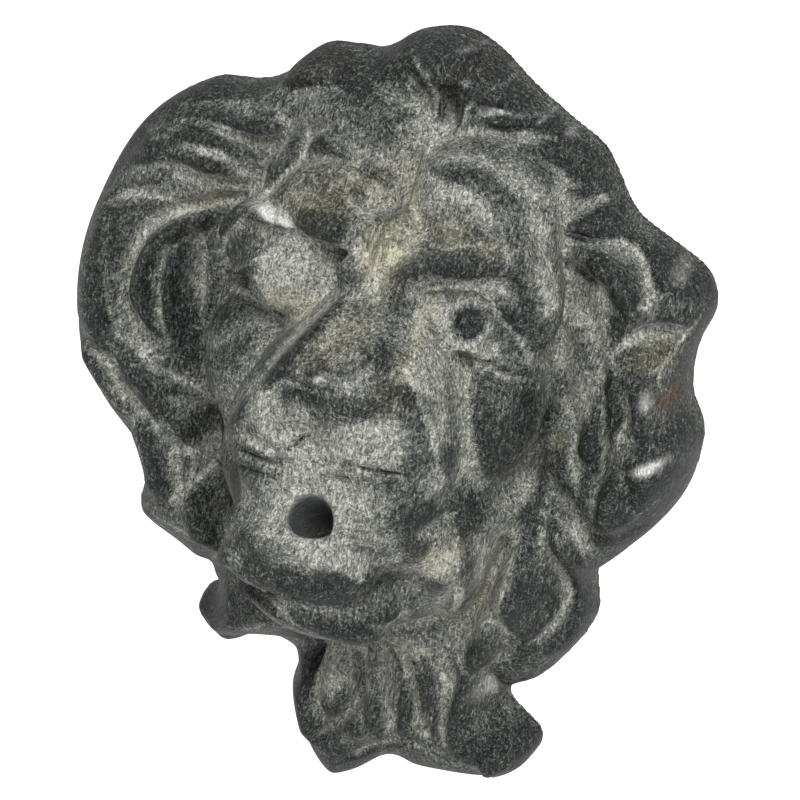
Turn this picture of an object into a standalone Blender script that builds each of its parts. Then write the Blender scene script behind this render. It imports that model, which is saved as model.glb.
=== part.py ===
"""Lion mask wall spout: one hollow lead casting that hangs flat on a wall, with a bore through its mouth.

The mask looks along -Y and its open back lies in the plane Y = 0. The origin is on the flat back rim, at the
middle of the crown. The free form is set out in units: MASK_HEIGHT is UNITS_TALL of them, x runs to the right
as seen from the front, depth comes out from the wall and z goes up. Walls and the bore have sizes of their own.
"""
import math

import bpy
import numpy as np
from mathutils import Vector

# Driving sizes, in metres
MASK_HEIGHT = 0.331
WALL = 0.007
SPOUT_BORE = 0.016
BACK_STOCK = 0.008
MESH_STEP = 0.0028

# The casting's triangles, the sides of the bore, and how many times the hollow's form is softened
TRIANGLES = 9300
BORE_SIDES = 40
BACK_SOFTENING = 3

# The form's own units
UNITS_TALL = 331.0
UNIT = MASK_HEIGHT / UNITS_TALL

# Where the outline of the mane meets the wall, clockwise from the crown: x, z
OUTLINE = [
    (-1, 159), (14, 154), (28, 144), (44, 135), (60, 126), (69, 115), (78, 103), (94, 95), (109, 87),
    (115, 74), (111, 57), (112, 39), (120, 22), (117, -7), (100, -34), (90, -46), (93, -68), (80, -95),
    (66, -107), (65, -116), (81, -130), (69, -149), (35, -156), (20, -155), (5, -168), (-7, -172),
    (-21, -157), (-30, -130), (-29, -118), (-44, -115), (-62, -124), (-78, -108), (-69, -96),
    (-84, -84), (-107, -70), (-108, -45), (-129, -23), (-143, 1), (-145, 38), (-140, 66),
    (-125, 99), (-101, 118), (-84, 121), (-72, 126), (-57, 141), (-42, 144), (-31, 146), (-18, 155)]
CROWN = OUTLINE[0]

# The mane's dome: the rim's height, the crest above it, how far in the crest stands, and how round the rim is
RIM_HEIGHT = 6.0
MANE_CREST = 38.0
MANE_SHOULDER = 34.0
MANE_EDGE = 5.0

# The beard is lower than the rest of the mane, from one height down to another
BEARD_DROP = 12.0
BEARD_TOP, BEARD_FOOT = -50.0, -110.0

# The valley between the face and the mane runs in an oval round the face: x and z
FACE_VALLEY = 16.0
FACE_MIDDLE = (-5.0, 38.0)
FACE_OVAL = (71.0, 95.0)
VALLEY_WIDTH = 0.2

# Locks thin towards the rim over this distance, down to this share of their height
RIM_FADE = 12.0
RIM_SHARE = 0.5

# The muzzle: how far its front stands out at each height, its half-width there, and its middle
MUZZLE_FRONT = [(-96, -20), (-84, 24), (-76, 56), (-68, 80), (-60, 94), (-50, 102), (-40, 101), (-32, 106),
                (-20, 117), (-6, 116), (8, 108), (20, 107), (34, 110), (44, 113), (52, 113), (60, 106), (68, 91),
                (76, 75), (86, 64)]
MUZZLE_HALF = [(-78, 20), (-60, 26), (-40, 30), (-20, 32), (-8, 34), (4, 38), (20, 40), (34, 37), (46, 31),
               (58, 23), (72, 15), (84, 10)]
MUZZLE_MIDDLE = [(-78, -4), (-40, -3), (-20, -1), (-8, 1), (8, -1), (30, -1), (50, 2), (66, 2), (86, 1)]

# The muzzle's sides lean out by a share of its depth and its front is bowed; both grow from the lip to the chin
MUZZLE_EDGE = 10.0
MUZZLE_SPLAY, CHIN_SPLAY = 0.16, 0.5
MUZZLE_BULGE, CHIN_BULGE = 0.006, 0.018
CHIN_TOP, CHIN_FOOT = 6.0, -20.0

# The spout: the middle of its mouth, the way that the bore comes out of it, how long the boss round the bore
# is behind the mouth, and how far the bore runs past the mouth and past the boss
SPOUT_MOUTH = (-1.0, 118.0, -2.0)
SPOUT_WAY = (-0.126, 0.677, 0.725)
BOSS_LENGTH = 35.0
BORE_PAST = 30.0
BORE_THROUGH = 5.0

# Where two ridges meet, the corner between them is rounded over this width
RIDGE_BLEND = 2.0

# Slopes of a height over the front view count up to this much
STEEPEST = 3.0

# The block of space that the form is worked in: lowest and highest x, depth and z
ROOM = 8.0
SPACE_LOW = (min(x for x, z in OUTLINE) - ROOM, -BACK_STOCK / UNIT, min(z for x, z in OUTLINE) - ROOM)
SPACE_HIGH = (max(x for x, z in OUTLINE) + ROOM, SPOUT_MOUTH[1] + 2 * ROOM, max(z for x, z in OUTLINE) + ROOM)


def clear_scene():
    for item in list(bpy.data.objects):
        bpy.data.objects.remove(item)


def smooth_step(value, low, high):
    share = np.clip((value - low) / (high - low), 0.0, 1.0)
    return share * share * (3.0 - 2.0 * share)


def melt(a, b, blend):
    """The lower of two distances, with the corner between them rounded over a width."""
    near = np.maximum(blend - np.abs(a - b), 0.0) / blend
    return np.minimum(a, b) - 0.25 * blend * near * near


def smooth_line(points, steps, closed=False):
    """A line that bends smoothly through the points."""
    p = np.array(points, float)
    if not closed:
        p = np.vstack([2 * p[0] - p[1], p, 2 * p[-1] - p[-2]])
    last = len(p) if closed else len(p) - 3
    line = []
    for i in range(last):
        a, b, c, d = (p[(i + k - closed) % len(p)] for k in range(4))
        for t in np.arange(steps) / steps:
            bend = (2 * a - 5 * b + 4 * c - d) * t * t + (3 * b - a - 3 * c + d) * t ** 3
            line.append(0.5 * (2 * b + (c - a) * t + bend))
    line.append(line[0] if closed else p[-2])
    return np.array(line)


def read_off(profile, z):
    line = smooth_line(profile, 8)
    return np.interp(z, line[:, 0], line[:, 1])


def line_distance(x, z, line):
    """How far each place is from a line, and the share of the line's length at its nearest point."""
    best = np.full(np.broadcast(x, z).shape, np.inf)
    share = np.zeros_like(best)
    for i, (a, b) in enumerate(zip(line[:-1], line[1:])):
        run = b - a
        t = np.clip(((x - a[0]) * run[0] + (z - a[1]) * run[1]) / max(run @ run, 1e-9), 0, 1)
        far = np.hypot(x - a[0] - t * run[0], z - a[1] - t * run[1])
        closer = far < best
        best = np.where(closer, far, best)
        share = np.where(closer, (i + t) / (len(line) - 1), share)
    return best, share


def outline_distance(x, z):
    """Distance to the outline, below zero inside it."""
    line = smooth_line(OUTLINE, 5, closed=True)
    far, _ = line_distance(x, z, line)
    inside = np.zeros(far.shape, bool)
    for a, b in zip(line[:-1], line[1:]):
        if a[1] != b[1]:
            crossing = (b[0] - a[0]) * (z - a[1]) / (b[1] - a[1]) + a[0]
            inside ^= ((a[1] > z) != (b[1] > z)) & (x < crossing)
    return np.where(inside, -far, far)


class Relief:
    """Ridges and grooves, as heights over the front view."""

    def __init__(self, x, z):
        self.x = x[:, None]
        self.z = z[None, :]
        self.height = np.zeros((len(x), len(z)))

    def stroke(self, start, end, bow, swing, reach):
        """The places near an arc, their distance from it, and how full the stroke is there."""
        a, b = np.array(start, float), np.array(end, float)
        run = b - a
        side = np.array([-run[1], run[0]]) / np.hypot(*run)
        t = np.linspace(0, 1, 15)[:, None]
        line = a + run * t + side * (bow * np.sin(math.pi * t) + swing * np.sin(2 * math.pi * t))
        low, high = line.min(0) - reach, line.max(0) + reach
        across = slice(*np.searchsorted(self.x[:, 0], (low[0], high[0])))
        up = slice(*np.searchsorted(self.z[0], (low[1], high[1])))
        far, share = line_distance(self.x[across], self.z[:, up], line)
        return (across, up), far, share

    def ridge(self, start, end, bow, width, rise, swing=0.0):
        """A rounded ridge, such as a lock of hair, that thins to both ends."""
        place, far, share = self.stroke(start, end, bow, swing, width + 1)
        full = np.minimum(1.0, np.sin(math.pi * (0.06 + 0.88 * share)) * 1.4)
        body = np.maximum(1 - (far / (width * (0.35 + 0.65 * full))) ** 2, 0.0) ** 1.4
        blend = np.maximum(RIDGE_BLEND * full * body, 1e-6)
        self.height[place] = -melt(-self.height[place], -rise * full * body, blend)

    def groove(self, start, end, bow, width, depth, swing=0.0):
        """A narrow furrow."""
        place, far, share = self.stroke(start, end, bow, swing, 2.2 * width)
        full = np.sin(math.pi * (0.03 + 0.94 * share)) ** 0.6
        self.height[place] -= depth * full * np.exp(-(far / (width * full + 0.2)) ** 2)


def comb_crown(mane):
    mane.ridge((-26, 146), (14, 150), 6, 17, 14.5)
    mane.ridge((-71, 131), (-37, 141), 3, 12.5, 13)
    mane.ridge((7, 151), (39, 139), 2, 12.5, 9.5)
    mane.ridge((-15, 151), (2, 127), 5, 3, 6.5)
    mane.ridge((11, 146), (9, 125), 3, 3, 5.5)
    mane.ridge((23, 134), (42, 136), -1, 5, 6.5)
    mane.ridge((50, 132), (72, 110), 3, 9, 9.5)
    mane.groove((-47, 147), (-24, 137), 3, 7.5, 10)
    mane.groove((-82, 125), (-53, 126), -1, 5.8, 7.5)
    mane.groove((-59, 126), (-22, 136), 3, 4.5, 6.5)
    mane.groove((-21, 146), (-6, 144), 0, 5.2, 6.5)
    mane.groove((-4, 148), (23, 145), 3, 5.2, 7.5)
    mane.groove((3, 144), (4, 125), 2, 4.5, 5.5)
    mane.groove((14, 138), (47, 143), -4, 3.3, 5.5)
    mane.groove((21, 129), (46, 134), 0, 2.6, 4)
    mane.groove((12, 123), (58, 127), 5, 3.6, 4)
    mane.groove((41, 128), (67, 111), 1, 9.8, 7.5)


def comb_left_tufts(mane):
    mane.ridge((-119, 104), (-68, 120), 6, 11.5, 7)
    mane.ridge((-98, 108), (-58, 113), 3, 8, 7)
    mane.ridge((-112, 95), (-79, 101), 5, 7, 5.5)
    mane.ridge((-120, 85), (-74, 90), 9, 8, 7)
    mane.groove((-118, 100), (-48, 119), 6, 2.9, 4.5, swing=3)
    mane.groove((-108, 98), (-47, 114), 1, 2.9, 4.5, swing=5)
    mane.groove((-104, 94), (-72, 91), 7, 2.6, 4)
    mane.groove((-123, 76), (-74, 84), 10, 6, 4.5)
    mane.groove((-126, 68), (-84, 79), 4, 2.9, 5.5)


def comb_left_sweep(mane):
    mane.ridge((-115, 73), (-120, 7), -11, 15, 10.5)
    mane.ridge((-80, 74), (-97, 22), -17, 9, 9)
    mane.ridge((-89, 67), (-88, 16), -5, 7, 6.5)
    mane.groove((-71, 81), (-113, 28), -15, 3.6, 9.5)
    mane.groove((-113, 32), (-73, -15), -7, 4.5, 9.5)
    mane.groove((-95, 64), (-92, 18), -6, 2.3, 4)
    mane.groove((-88, 71), (-85, 9), -1, 3.9, 8)
    mane.groove((-121, 67), (-113, 14), -3, 2.1, 2.5)
    mane.groove((-128, 66), (-97, 78), 3, 2.6, 6)


def comb_lower_left(mane):
    mane.ridge((-133, 10), (-102, -20), 0, 9, 8)
    mane.ridge((-113, 11), (-73, -28), 3, 10.5, 9.5)
    mane.ridge((-100, -14), (-89, -53), 1, 10.5, 11)
    mane.ridge((-82, -23), (-77, -43), 3, 7, 6.5)
    mane.ridge((-71, -35), (-63, -66), -2, 10.5, 11)
    mane.ridge((-70, -107), (-10, -50), -12, 17, 13)
    mane.groove((-128, 6), (-106, -11), 4, 3.4, 6)
    mane.groove((-93, -8), (-73, -53), 1, 2.6, 6, swing=2)
    mane.groove((-83, -23), (-76, -44), 7, 1.7, 4.5)
    mane.groove((-88, -4), (-57, -64), 7, 6, 14, swing=2)
    mane.groove((-77, -97), (-52, -68), 4, 4.5, 8)


def comb_right_curl(mane):
    mane.ridge((62, 103), (106, 88), 4, 12.5, 11)
    mane.ridge((66, 91), (89, 76), 6, 9, 9)
    mane.ridge((99, 84), (110, 81), 5, 8, 5.5)
    mane.groove((57, 103), (81, 109), 5, 3.4, 11)
    mane.groove((58, 97), (97, 68), 13, 2.9, 8)
    mane.groove((59, 87), (75, 64), 5, 3.9, 7)
    mane.groove((97, 93), (109, 83), 0, 1.8, 2.5)


def comb_right_bulge(mane):
    mane.ridge((94, 61), (106, -3), 13, 19.5, 14.5, swing=-2)
    mane.ridge((86, 51), (92, 25), -2, 7, 8)
    mane.ridge((96, 50), (99, 26), -2, 6, 5)
    mane.ridge((94, 9), (103, -13), -3, 10.5, 9.5)
    mane.groove((86, 61), (112, 67), 5, 3.9, 9.5)
    mane.groove((92, 47), (94, 23), 1, 2.3, 6)
    mane.groove((80, 56), (89, -10), 3, 3.6, 11)
    mane.groove((77, 20), (88, -8), -4, 2.1, 6)
    mane.ridge((80, 27), (80, 14), 2, 5, 6.5)


def comb_lower_right(mane):
    mane.ridge((66, 72), (72, 33), 1, 9, 5)
    mane.ridge((62, 34), (76, 2), -3, 10.5, 8)
    mane.ridge((64, -3), (72, -64), -8, 12.5, 13)
    mane.ridge((74, -15), (89, -56), 6, 8, 8)
    mane.ridge((92, -19), (109, -10), -5, 7, 3)
    mane.ridge((79, -79), (91, -56), -8, 8, 6.5)
    mane.ridge((57, -55), (51, -93), 3, 7, 8)
    mane.groove((63, 5), (40, -87), 3, 5, 11)
    mane.groove((74, -25), (72, -74), 11, 3.4, 8, swing=-2)
    mane.groove((68, -2), (89, -26), 5, 3.1, 8)
    mane.groove((70, -70), (54, -110), -1, 2.9, 6)


def comb_beard(mane):
    mane.ridge((-18, -108), (-8, -151), -8, 10.5, 11)
    mane.ridge((-7, -102), (-3, -135), 2, 10.5, 8)
    mane.ridge((10, -96), (14, -138), 3, 7.5, 9.5)
    mane.ridge((24, -102), (28, -134), 3, 6, 8)
    mane.ridge((32, -93), (43, -132), 1, 6, 8)
    mane.ridge((47, -95), (63, -137), -5, 11.5, 11)
    mane.ridge((61, -135), (75, -128), 0, 15, 13)
    mane.ridge((2, -138), (23, -132), 2, 10.5, 8)
    mane.groove((2, -98), (-12, -148), 9, 2.6, 8, swing=1)
    mane.groove((13, -89), (21, -125), 3, 2.6, 8)
    mane.groove((22, -92), (39, -133), 2, 2.5, 8)
    mane.groove((38, -85), (48, -139), 1, 2.3, 8, swing=3)
    mane.groove((32, -118), (30, -131), 0, 1.6, 4.5)
    mane.groove((57, -88), (68, -123), -4, 3.9, 8)
    mane.groove((2, -156), (39, -138), 7, 1.8, 4.5, swing=-2)


class Clay:
    """A block of places that each hold a distance to the form's surface, below zero inside it."""

    def __init__(self, step):
        self.step = step
        self.axes = [np.arange(a, b + step, step) for a, b in zip(SPACE_LOW, SPACE_HIGH)]
        self.field = None

    def block(self, low, high):
        part = tuple(slice(*np.searchsorted(axis, ends)) for axis, *ends in zip(self.axes, low, high))
        x, depth, z = (axis[span] for axis, span in zip(self.axes, part))
        return part, x[:, None, None], depth[None, :, None], z[None, None, :]

    def join(self, part, shape, blend, cut):
        here = self.field[part]
        self.field[part] = -melt(-here, shape, blend) if cut else melt(here, shape, blend)

    def ball(self, centre, radii, blend, turn=0.0, cut=False):
        """An egg shape, turned by degrees in the front view."""
        middle, size = np.array(centre, float), np.array(radii, float)
        reach = size.max() + blend + 3
        part, x, depth, z = self.block(middle - reach, middle + reach)
        x, depth, z = x - middle[0], depth - middle[1], z - middle[2]
        angle = math.radians(turn)
        u = x * math.cos(angle) + z * math.sin(angle)
        w = z * math.cos(angle) - x * math.sin(angle)
        share = np.sqrt((u / size[0]) ** 2 + (depth / size[1]) ** 2 + (w / size[2]) ** 2)
        slope = np.sqrt((u / size[0] ** 2) ** 2 + (depth / size[1] ** 2) ** 2 + (w / size[2] ** 2) ** 2)
        self.join(part, share * (share - 1) / (slope + 1e-6), blend, cut)

    def roll(self, points, radii, blend, cut=False):
        """A round roll along a smooth line."""
        line = smooth_line([(*point, radius) for point, radius in zip(points, radii)], 4)
        reach = max(radii) + blend + 3
        part, x, depth, z = self.block(line[:, :3].min(0) - reach, line[:, :3].max(0) + reach)
        shape = np.full(np.broadcast(x, depth, z).shape, np.inf)
        for a, b in zip(line[:-1], line[1:]):
            run = (b - a)[:3]
            t = (x - a[0]) * run[0] + (depth - a[1]) * run[1] + (z - a[2]) * run[2]
            t = np.clip(t / max(run @ run, 1e-9), 0, 1)
            far = (x - a[0] - t * run[0]) ** 2 + (depth - a[1] - t * run[1]) ** 2 + (z - a[2] - t * run[2]) ** 2
            shape = np.minimum(shape, np.sqrt(far) - a[3] - t * (b[3] - a[3]))
        self.join(part, shape, blend, cut)


def raise_mane(clay):
    """The dome of hair inside the outline, with its locks, and the valley where the face sits."""
    x, depth, z = clay.axes
    edge = outline_distance(x[:, None], z[None, :])
    inset = np.maximum(-edge, 0)
    mane = Relief(x, z)
    for comb in (comb_crown, comb_left_tufts, comb_left_sweep, comb_lower_left, comb_right_curl,
                 comb_right_bulge, comb_lower_right, comb_beard):
        comb(mane)
    crest = MANE_CREST - BEARD_DROP * smooth_step(-mane.z, -BEARD_TOP, -BEARD_FOOT)
    dome = RIM_HEIGHT + crest * np.sqrt(1 - (1 - np.minimum(inset / MANE_SHOULDER, 1)) ** 2)
    across, up = (mane.x - FACE_MIDDLE[0]) / FACE_OVAL[0], (mane.z - FACE_MIDDLE[1]) / FACE_OVAL[1]
    valley = np.exp(-((np.hypot(across, up) - 1) / VALLEY_WIDTH) ** 2)
    dome -= FACE_VALLEY * valley * smooth_step(inset, RIM_FADE / 2, MANE_SHOULDER)
    top = dome + mane.height * (RIM_SHARE + (1 - RIM_SHARE) * smooth_step(inset, 0, RIM_FADE))
    slope_x, slope_z = np.gradient(top, clay.step)
    steep = np.sqrt(1 + np.minimum(slope_x ** 2 + slope_z ** 2, STEEPEST ** 2))
    hair = (depth[None, :, None] - top[:, None, :]) / steep[:, None, :]
    clay.field = -melt(-hair, -edge[:, None, :], MANE_EDGE)


def model_brow(clay):
    clay.ball((-24, 24, 118), (30, 28, 22), 8)
    clay.ball((-29, 33, 98), (33, 33, 24), 5, turn=12)
    clay.ball((26, 33, 102), (30, 33, 26), 5, turn=-12)
    clay.roll([(11, 67, 85), (27, 66, 89), (44, 59, 91)], [7, 8, 7], 10)
    clay.roll([(-7, 67, 91), (-21, 67, 92), (-38, 60, 91), (-55, 53, 80)], [7, 8, 9, 9], 9)
    clay.ball((-1, 60, 86), (10, 16, 14), 8)
    clay.ball((-58, 44, 70), (14, 15, 15), 8, turn=-20)
    clay.ball((53, 45, 75), (10, 15, 20), 10, turn=12)


def model_eyes(clay):
    clay.ball((30, 52, 66), (22, 20, 16), 10)
    clay.ball((-34, 52, 68), (22, 20, 17), 10)
    clay.ball((33, 63, 63), (11, 12, 9), 4)
    clay.ball((-37, 58, 64), (19, 15, 13), 9, turn=14)


def model_cheeks(clay):
    clay.ball((40, 41, 29), (23, 36, 34), 9)
    clay.ball((-54, 34, 24), (23, 32, 31), 5)
    clay.ball((-44, 40, -12), (18, 26, 30), 12)
    clay.ball((37, 52, -22), (18, 31, 29), 8, turn=6)


def model_muzzle(clay):
    low, high = MUZZLE_FRONT[0][0] - ROOM, MUZZLE_FRONT[-1][0] + ROOM
    part, x, depth, z = clay.block((SPACE_LOW[0], 0, low), (SPACE_HIGH[0], SPACE_HIGH[1], high))
    front = read_off(MUZZLE_FRONT, z)
    slope = np.minimum(np.gradient(front[0, 0], clay.step) ** 2, STEEPEST ** 2)
    off = x - read_off(MUZZLE_MIDDLE, z)
    chin = smooth_step(-z, -CHIN_TOP, -CHIN_FOOT)
    splay = MUZZLE_SPLAY + (CHIN_SPLAY - MUZZLE_SPLAY) * chin
    half = read_off(MUZZLE_HALF, z) + np.maximum(front - MUZZLE_EDGE - depth, -MUZZLE_EDGE) * splay
    side = (np.abs(off) - half) / np.sqrt(1 + splay ** 2)
    bulge = off ** 2 * (MUZZLE_BULGE + (CHIN_BULGE - MUZZLE_BULGE) * chin)
    face = (depth - front + bulge) / np.sqrt(1 + slope)
    clay.join(part, -melt(-side, -face, MUZZLE_EDGE), 7, False)
    for middle in (16, -21):
        clay.ball((middle, 91, 17), (19, 21, 17), 14)
    clay.ball((0, 101, 42), (19, 14, 13), 9)
    clay.roll([(-30, 103, -19), (-14, 111, -19), (0, 112, -19), (16, 106, -26)], [7, 11, 11, 8], 8)
    clay.ball((-7, 104, -31), (29, 18, 12), 5)
    clay.ball((1, 88, -50), (30, 19, 13), 8)
    clay.ball((-9, 74, 76), (7, 9, 8), 5)
    clay.ball((10, 74, 76), (7, 9, 8), 5)


def shape_face(clay):
    clay.ball((-7, 12, 40), (62, 46, 80), 14)
    model_brow(clay)
    model_eyes(clay)
    model_cheeks(clay)
    model_muzzle(clay)
    carve_face(clay)


def carve_forehead(face):
    face.groove((-5, 126), (0, 78), 0, 14.5, 5)
    face.groove((-56, 87), (-8, 103), 16, 2.6, 5)
    face.groove((-43, 107), (-36, 121), 5, 3, 5)
    face.groove((6, 97), (45, 94), 13, 2.6, 6)
    face.ridge((5, 116), (52, 88), 14, 5, 3, swing=1)
    face.groove((12, 92), (40, 93), 0, 3, 5)
    face.ridge((6, 83), (40, 90), 0, 7.5, 4)
    face.ridge((-37, 91), (-12, 87), 2, 7.5, 4)
    face.ridge((-75, 65), (-39, 86), 10, 4, 4.5)


def carve_right_eye(face):
    face.groove((22, 70), (42, 71), 6, 2.4, 5)
    face.groove((42, 72), (35, 56), 5, 2.4, 5)
    face.groove((35, 56), (23, 64), 2, 2.4, 4.5)
    face.groove((32, 68), (36, 69), 0, 5, 4)
    face.ridge((17, 76), (53, 64), 10, 3, 3.5)
    face.ridge((24, 60), (58, 48), 2, 3, 3.5)
    face.groove((30, 56), (56, 46), 1, 2.4, 2.5)


def carve_left_eye(face):
    face.ridge((-76, 48), (-46, 74), -1, 2.3, 3)
    face.groove((-73, 46), (-53, 63), -1, 2.6, 3)
    face.ridge((-77, 43), (-40, 45), 5, 2.3, 3)
    face.groove((-80, 39), (-39, 43), 7, 2.2, 3)


def carve_muzzle(face):
    face.ridge((-9, 70), (-41, 15), 0, 4, 3.5)
    face.groove((-13, 68), (-35, 31), 0, 2.8, 3)
    face.ridge((9, 72), (41, 1), 7, 3.6, 4)
    face.groove((14, 77), (46, -6), 6, 4, 5)
    face.groove((23, 50), (32, 14), -1, 3.5, 4)
    face.groove((-5, 69), (-16, 45), 3, 2.5, 1.5)
    face.groove((-22, 41), (3, 31), 5, 3.4, 6.5)
    face.groove((3, 31), (26, 40), 2, 3.4, 6)
    face.ridge((-28, 21), (-10, 30), 8, 9, 4)
    face.ridge((5, 20), (26, 33), 0, 9, 3.5)
    face.groove((-34, 18), (-15, 14), 1, 1.5, 2.5)
    face.groove((-33, 9), (-16, 8), 1, 1.5, 2.5)
    face.groove((6, 17), (31, 16), 2, 1.3, 2.5)
    face.groove((1, 9), (12, 12), 0, 1.6, 2)
    face.groove((10, 59), (12, 62), 0, 1, 1.5)
    face.groove((1, 55), (9, 55), 0, 1.2, 1.5)


def carve_mouth(face):
    face.ridge((-42, -49), (4, -16), 14, 5, 2.5, swing=-2)
    face.ridge((-19, -21), (18, -29), 12, 6.5, 4)
    face.groove((8, -7), (27, -45), 8, 5.5, 4.5)
    face.groove((-24, -43), (12, -40), 1, 3.5, 4.5)
    face.ridge((-52, -70), (5, -56), 13, 3.7, 4)
    face.ridge((-9, -50), (28, -58), 4, 8.5, 4)
    face.groove((31, -6), (32, -73), -1, 3.1, 4)
    face.ridge((34, -12), (43, -39), 4, 10.5, 5)
    face.groove((42, -5), (50, -44), 7, 3.1, 5)
    face.ridge((48, -11), (35, -75), 8, 3.7, 5)
    face.groove((35, -11), (44, -4), 0, 3.1, 3)


def carve_face(clay):
    """The lines of the face, pressed into the form from the front."""
    x, depth, z = clay.axes
    face = Relief(x, z)
    for carve in (carve_forehead, carve_right_eye, carve_left_eye, carve_muzzle, carve_mouth):
        carve(face)
    clay.field -= face.height[:, None, :]


def soften(field, rounds):
    """Each place takes the mean of itself and its neighbours, along each axis in turn."""
    for axis in [0, 1, 2] * rounds:
        span = [(1, 1) if a == axis else (0, 0) for a in range(3)]
        wide = np.moveaxis(np.pad(field, span, mode="edge"), axis, 0)
        field = np.moveaxis((wide[:-2] + 2 * wide[1:-1] + wide[2:]) / 4, 0, axis)
    return field


def from_spout(x, depth, z):
    """How far places lie along the bore, out from its mouth, and off its middle line."""
    way = np.array(SPOUT_WAY) / np.linalg.norm(SPOUT_WAY)
    x, depth, z = x - SPOUT_MOUTH[0], depth - SPOUT_MOUTH[1], z - SPOUT_MOUTH[2]
    along = x * way[0] + depth * way[1] + z * way[2]
    return along, np.sqrt(np.maximum(x * x + depth * depth + z * z - along * along, 0))


def spout_boss(clay, wall):
    """Distance to the round boss that stands in the hollow round the bore."""
    x, depth, z = clay.axes
    along, off = from_spout(x[:, None, None], depth[None, :, None], z[None, None, :])
    return np.maximum(off - SPOUT_BORE / 2 / UNIT - wall, -BOSS_LENGTH - along)


def hollow_out(clay, wall):
    """Everything deeper than the wall becomes the hollow, as far as its core draws straight out of the back."""
    solid = clay.field
    reach = int(wall / clay.step)
    span = range(-reach, reach + 1)
    padded = np.pad(solid, reach, mode="edge")
    deep = np.full(solid.shape, -np.inf)
    for i, j, k in ((i, j, k) for i in span for j in span for k in span):
        length = math.sqrt(i * i + j * j + k * k) * clay.step
        if wall - clay.step < length <= wall:
            start = (reach + i, reach + j, reach + k)
            shifted = padded[tuple(slice(s, s + n) for s, n in zip(start, solid.shape))]
            deep = np.maximum(deep, shifted + wall - length)
    deep = np.maximum(soften(deep, BACK_SOFTENING), -spout_boss(clay, wall))
    drawn = np.maximum.accumulate(deep, axis=1)
    clay.field = np.maximum(solid, -drawn)


def fill_pinches(field, film):
    """Two bodies of metal that meet only along an edge of the grid are joined by a film."""
    pinched = True
    while pinched:
        pinched = False
        for axis in range(3):
            flat = np.moveaxis(field, axis, 0)
            a, b, c, d = flat[:, :-1, :-1], flat[:, 1:, :-1], flat[:, :-1, 1:], flat[:, 1:, 1:]
            for one, two, gap, other in ((a, d, b, c), (b, c, a, d)):
                pinch = (one < 0) & (two < 0) & (gap >= 0) & (other >= 0)
                gap[pinch] = -film
                pinched = pinched or bool(pinch.any())


def net_surface(clay):
    """A closed net over the field's surface, with one corner in each cell that the surface crosses."""
    field = clay.field.copy()
    field[:, 0, :] = np.maximum(field[:, 0, :], clay.step)
    fill_pinches(field, 0.1 * clay.step)
    inside = field < 0
    cells = np.array(field.shape) - 1
    count = np.zeros(cells, int)
    for corner in np.ndindex(2, 2, 2):
        count += inside[tuple(slice(c, c + n) for c, n in zip(corner, cells))]
    where = np.argwhere((count > 0) & (count < 8))
    number = np.full(cells, -1)
    number[tuple(where.T)] = np.arange(len(where))
    total = np.zeros((len(where), 3))
    hits = np.zeros((len(where), 1))
    quads = []
    for axis in range(3):
        one, two = (a for a in range(3) if a != axis)
        for j, k in np.ndindex(2, 2):
            low = where.copy()
            low[:, one] += j
            low[:, two] += k
            high = low.copy()
            high[:, axis] += 1
            a, b = field[tuple(low.T)], field[tuple(high.T)]
            hit = (a < 0) != (b < 0)
            point = low[hit].astype(float)
            point[:, axis] += a[hit] / (a[hit] - b[hit])
            total[hit] += point
            hits[hit] += 1
        span = [slice(1, n) for n in cells]
        span[axis] = slice(0, cells[axis])
        here = inside[tuple(span)]
        span[axis] = slice(1, cells[axis] + 1)
        crossing = np.argwhere(here != inside[tuple(span)])
        inward = here[tuple(crossing.T)] != (axis == 1)
        crossing += [0 if a == axis else 1 for a in range(3)]
        ring = []
        for j, k in ((-1, -1), (0, -1), (0, 0), (-1, 0)):
            cell = crossing.copy()
            cell[:, one] += j
            cell[:, two] += k
            ring.append(number[tuple(cell.T)])
        ring = np.stack(ring, 1)
        ring[inward] = ring[inward][:, ::-1]
        quads.append(ring)
    low_corner = np.array([axis[0] for axis in clay.axes])
    return low_corner + total / hits * clay.step, np.vstack(quads)


def to_metres(points):
    """Places of the form, as x, depth and z in units, turned into the part's own metres."""
    points = np.asarray(points, float) * UNIT
    return points * (1, -1, 1)


def lead_material():
    material = bpy.data.materials.new("weathered_lead")
    material.use_nodes = True
    shader = material.node_tree.nodes["Principled BSDF"]
    shader.inputs["Base Color"].default_value = (0.11, 0.115, 0.115, 1)
    shader.inputs["Roughness"].default_value = 0.62
    shader.inputs["Metallic"].default_value = 0.35
    return material


def add_object(name, points, faces):
    mesh = bpy.data.meshes.new(name)
    mesh.from_pydata([tuple(point) for point in points], [], [tuple(int(i) for i in face) for face in faces])
    mesh.update()
    item = bpy.data.objects.new(name, mesh)
    bpy.context.collection.objects.link(item)
    return item


def as_cutter(item, mask):
    item.hide_render = True
    item.display_type = "WIRE"
    item.parent = mask
    cut = mask.modifiers.new(item.name, "BOOLEAN")
    cut.object = item
    cut.operation = "DIFFERENCE"


def cast_mask():
    """The casting itself, thinned to its share of triangles."""
    clay = Clay(MESH_STEP / UNIT)
    raise_mane(clay)
    shape_face(clay)
    hollow_out(clay, WALL / UNIT)
    points, faces = net_surface(clay)
    mask = add_object("lion_mask", to_metres(points), faces)
    mask.data.materials.append(lead_material())
    mask.data.shade_smooth()
    thin = mask.modifiers.new("thin", "DECIMATE")
    thin.ratio = TRIANGLES / (2 * len(faces))
    thin.use_collapse_triangulate = True
    return mask


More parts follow.
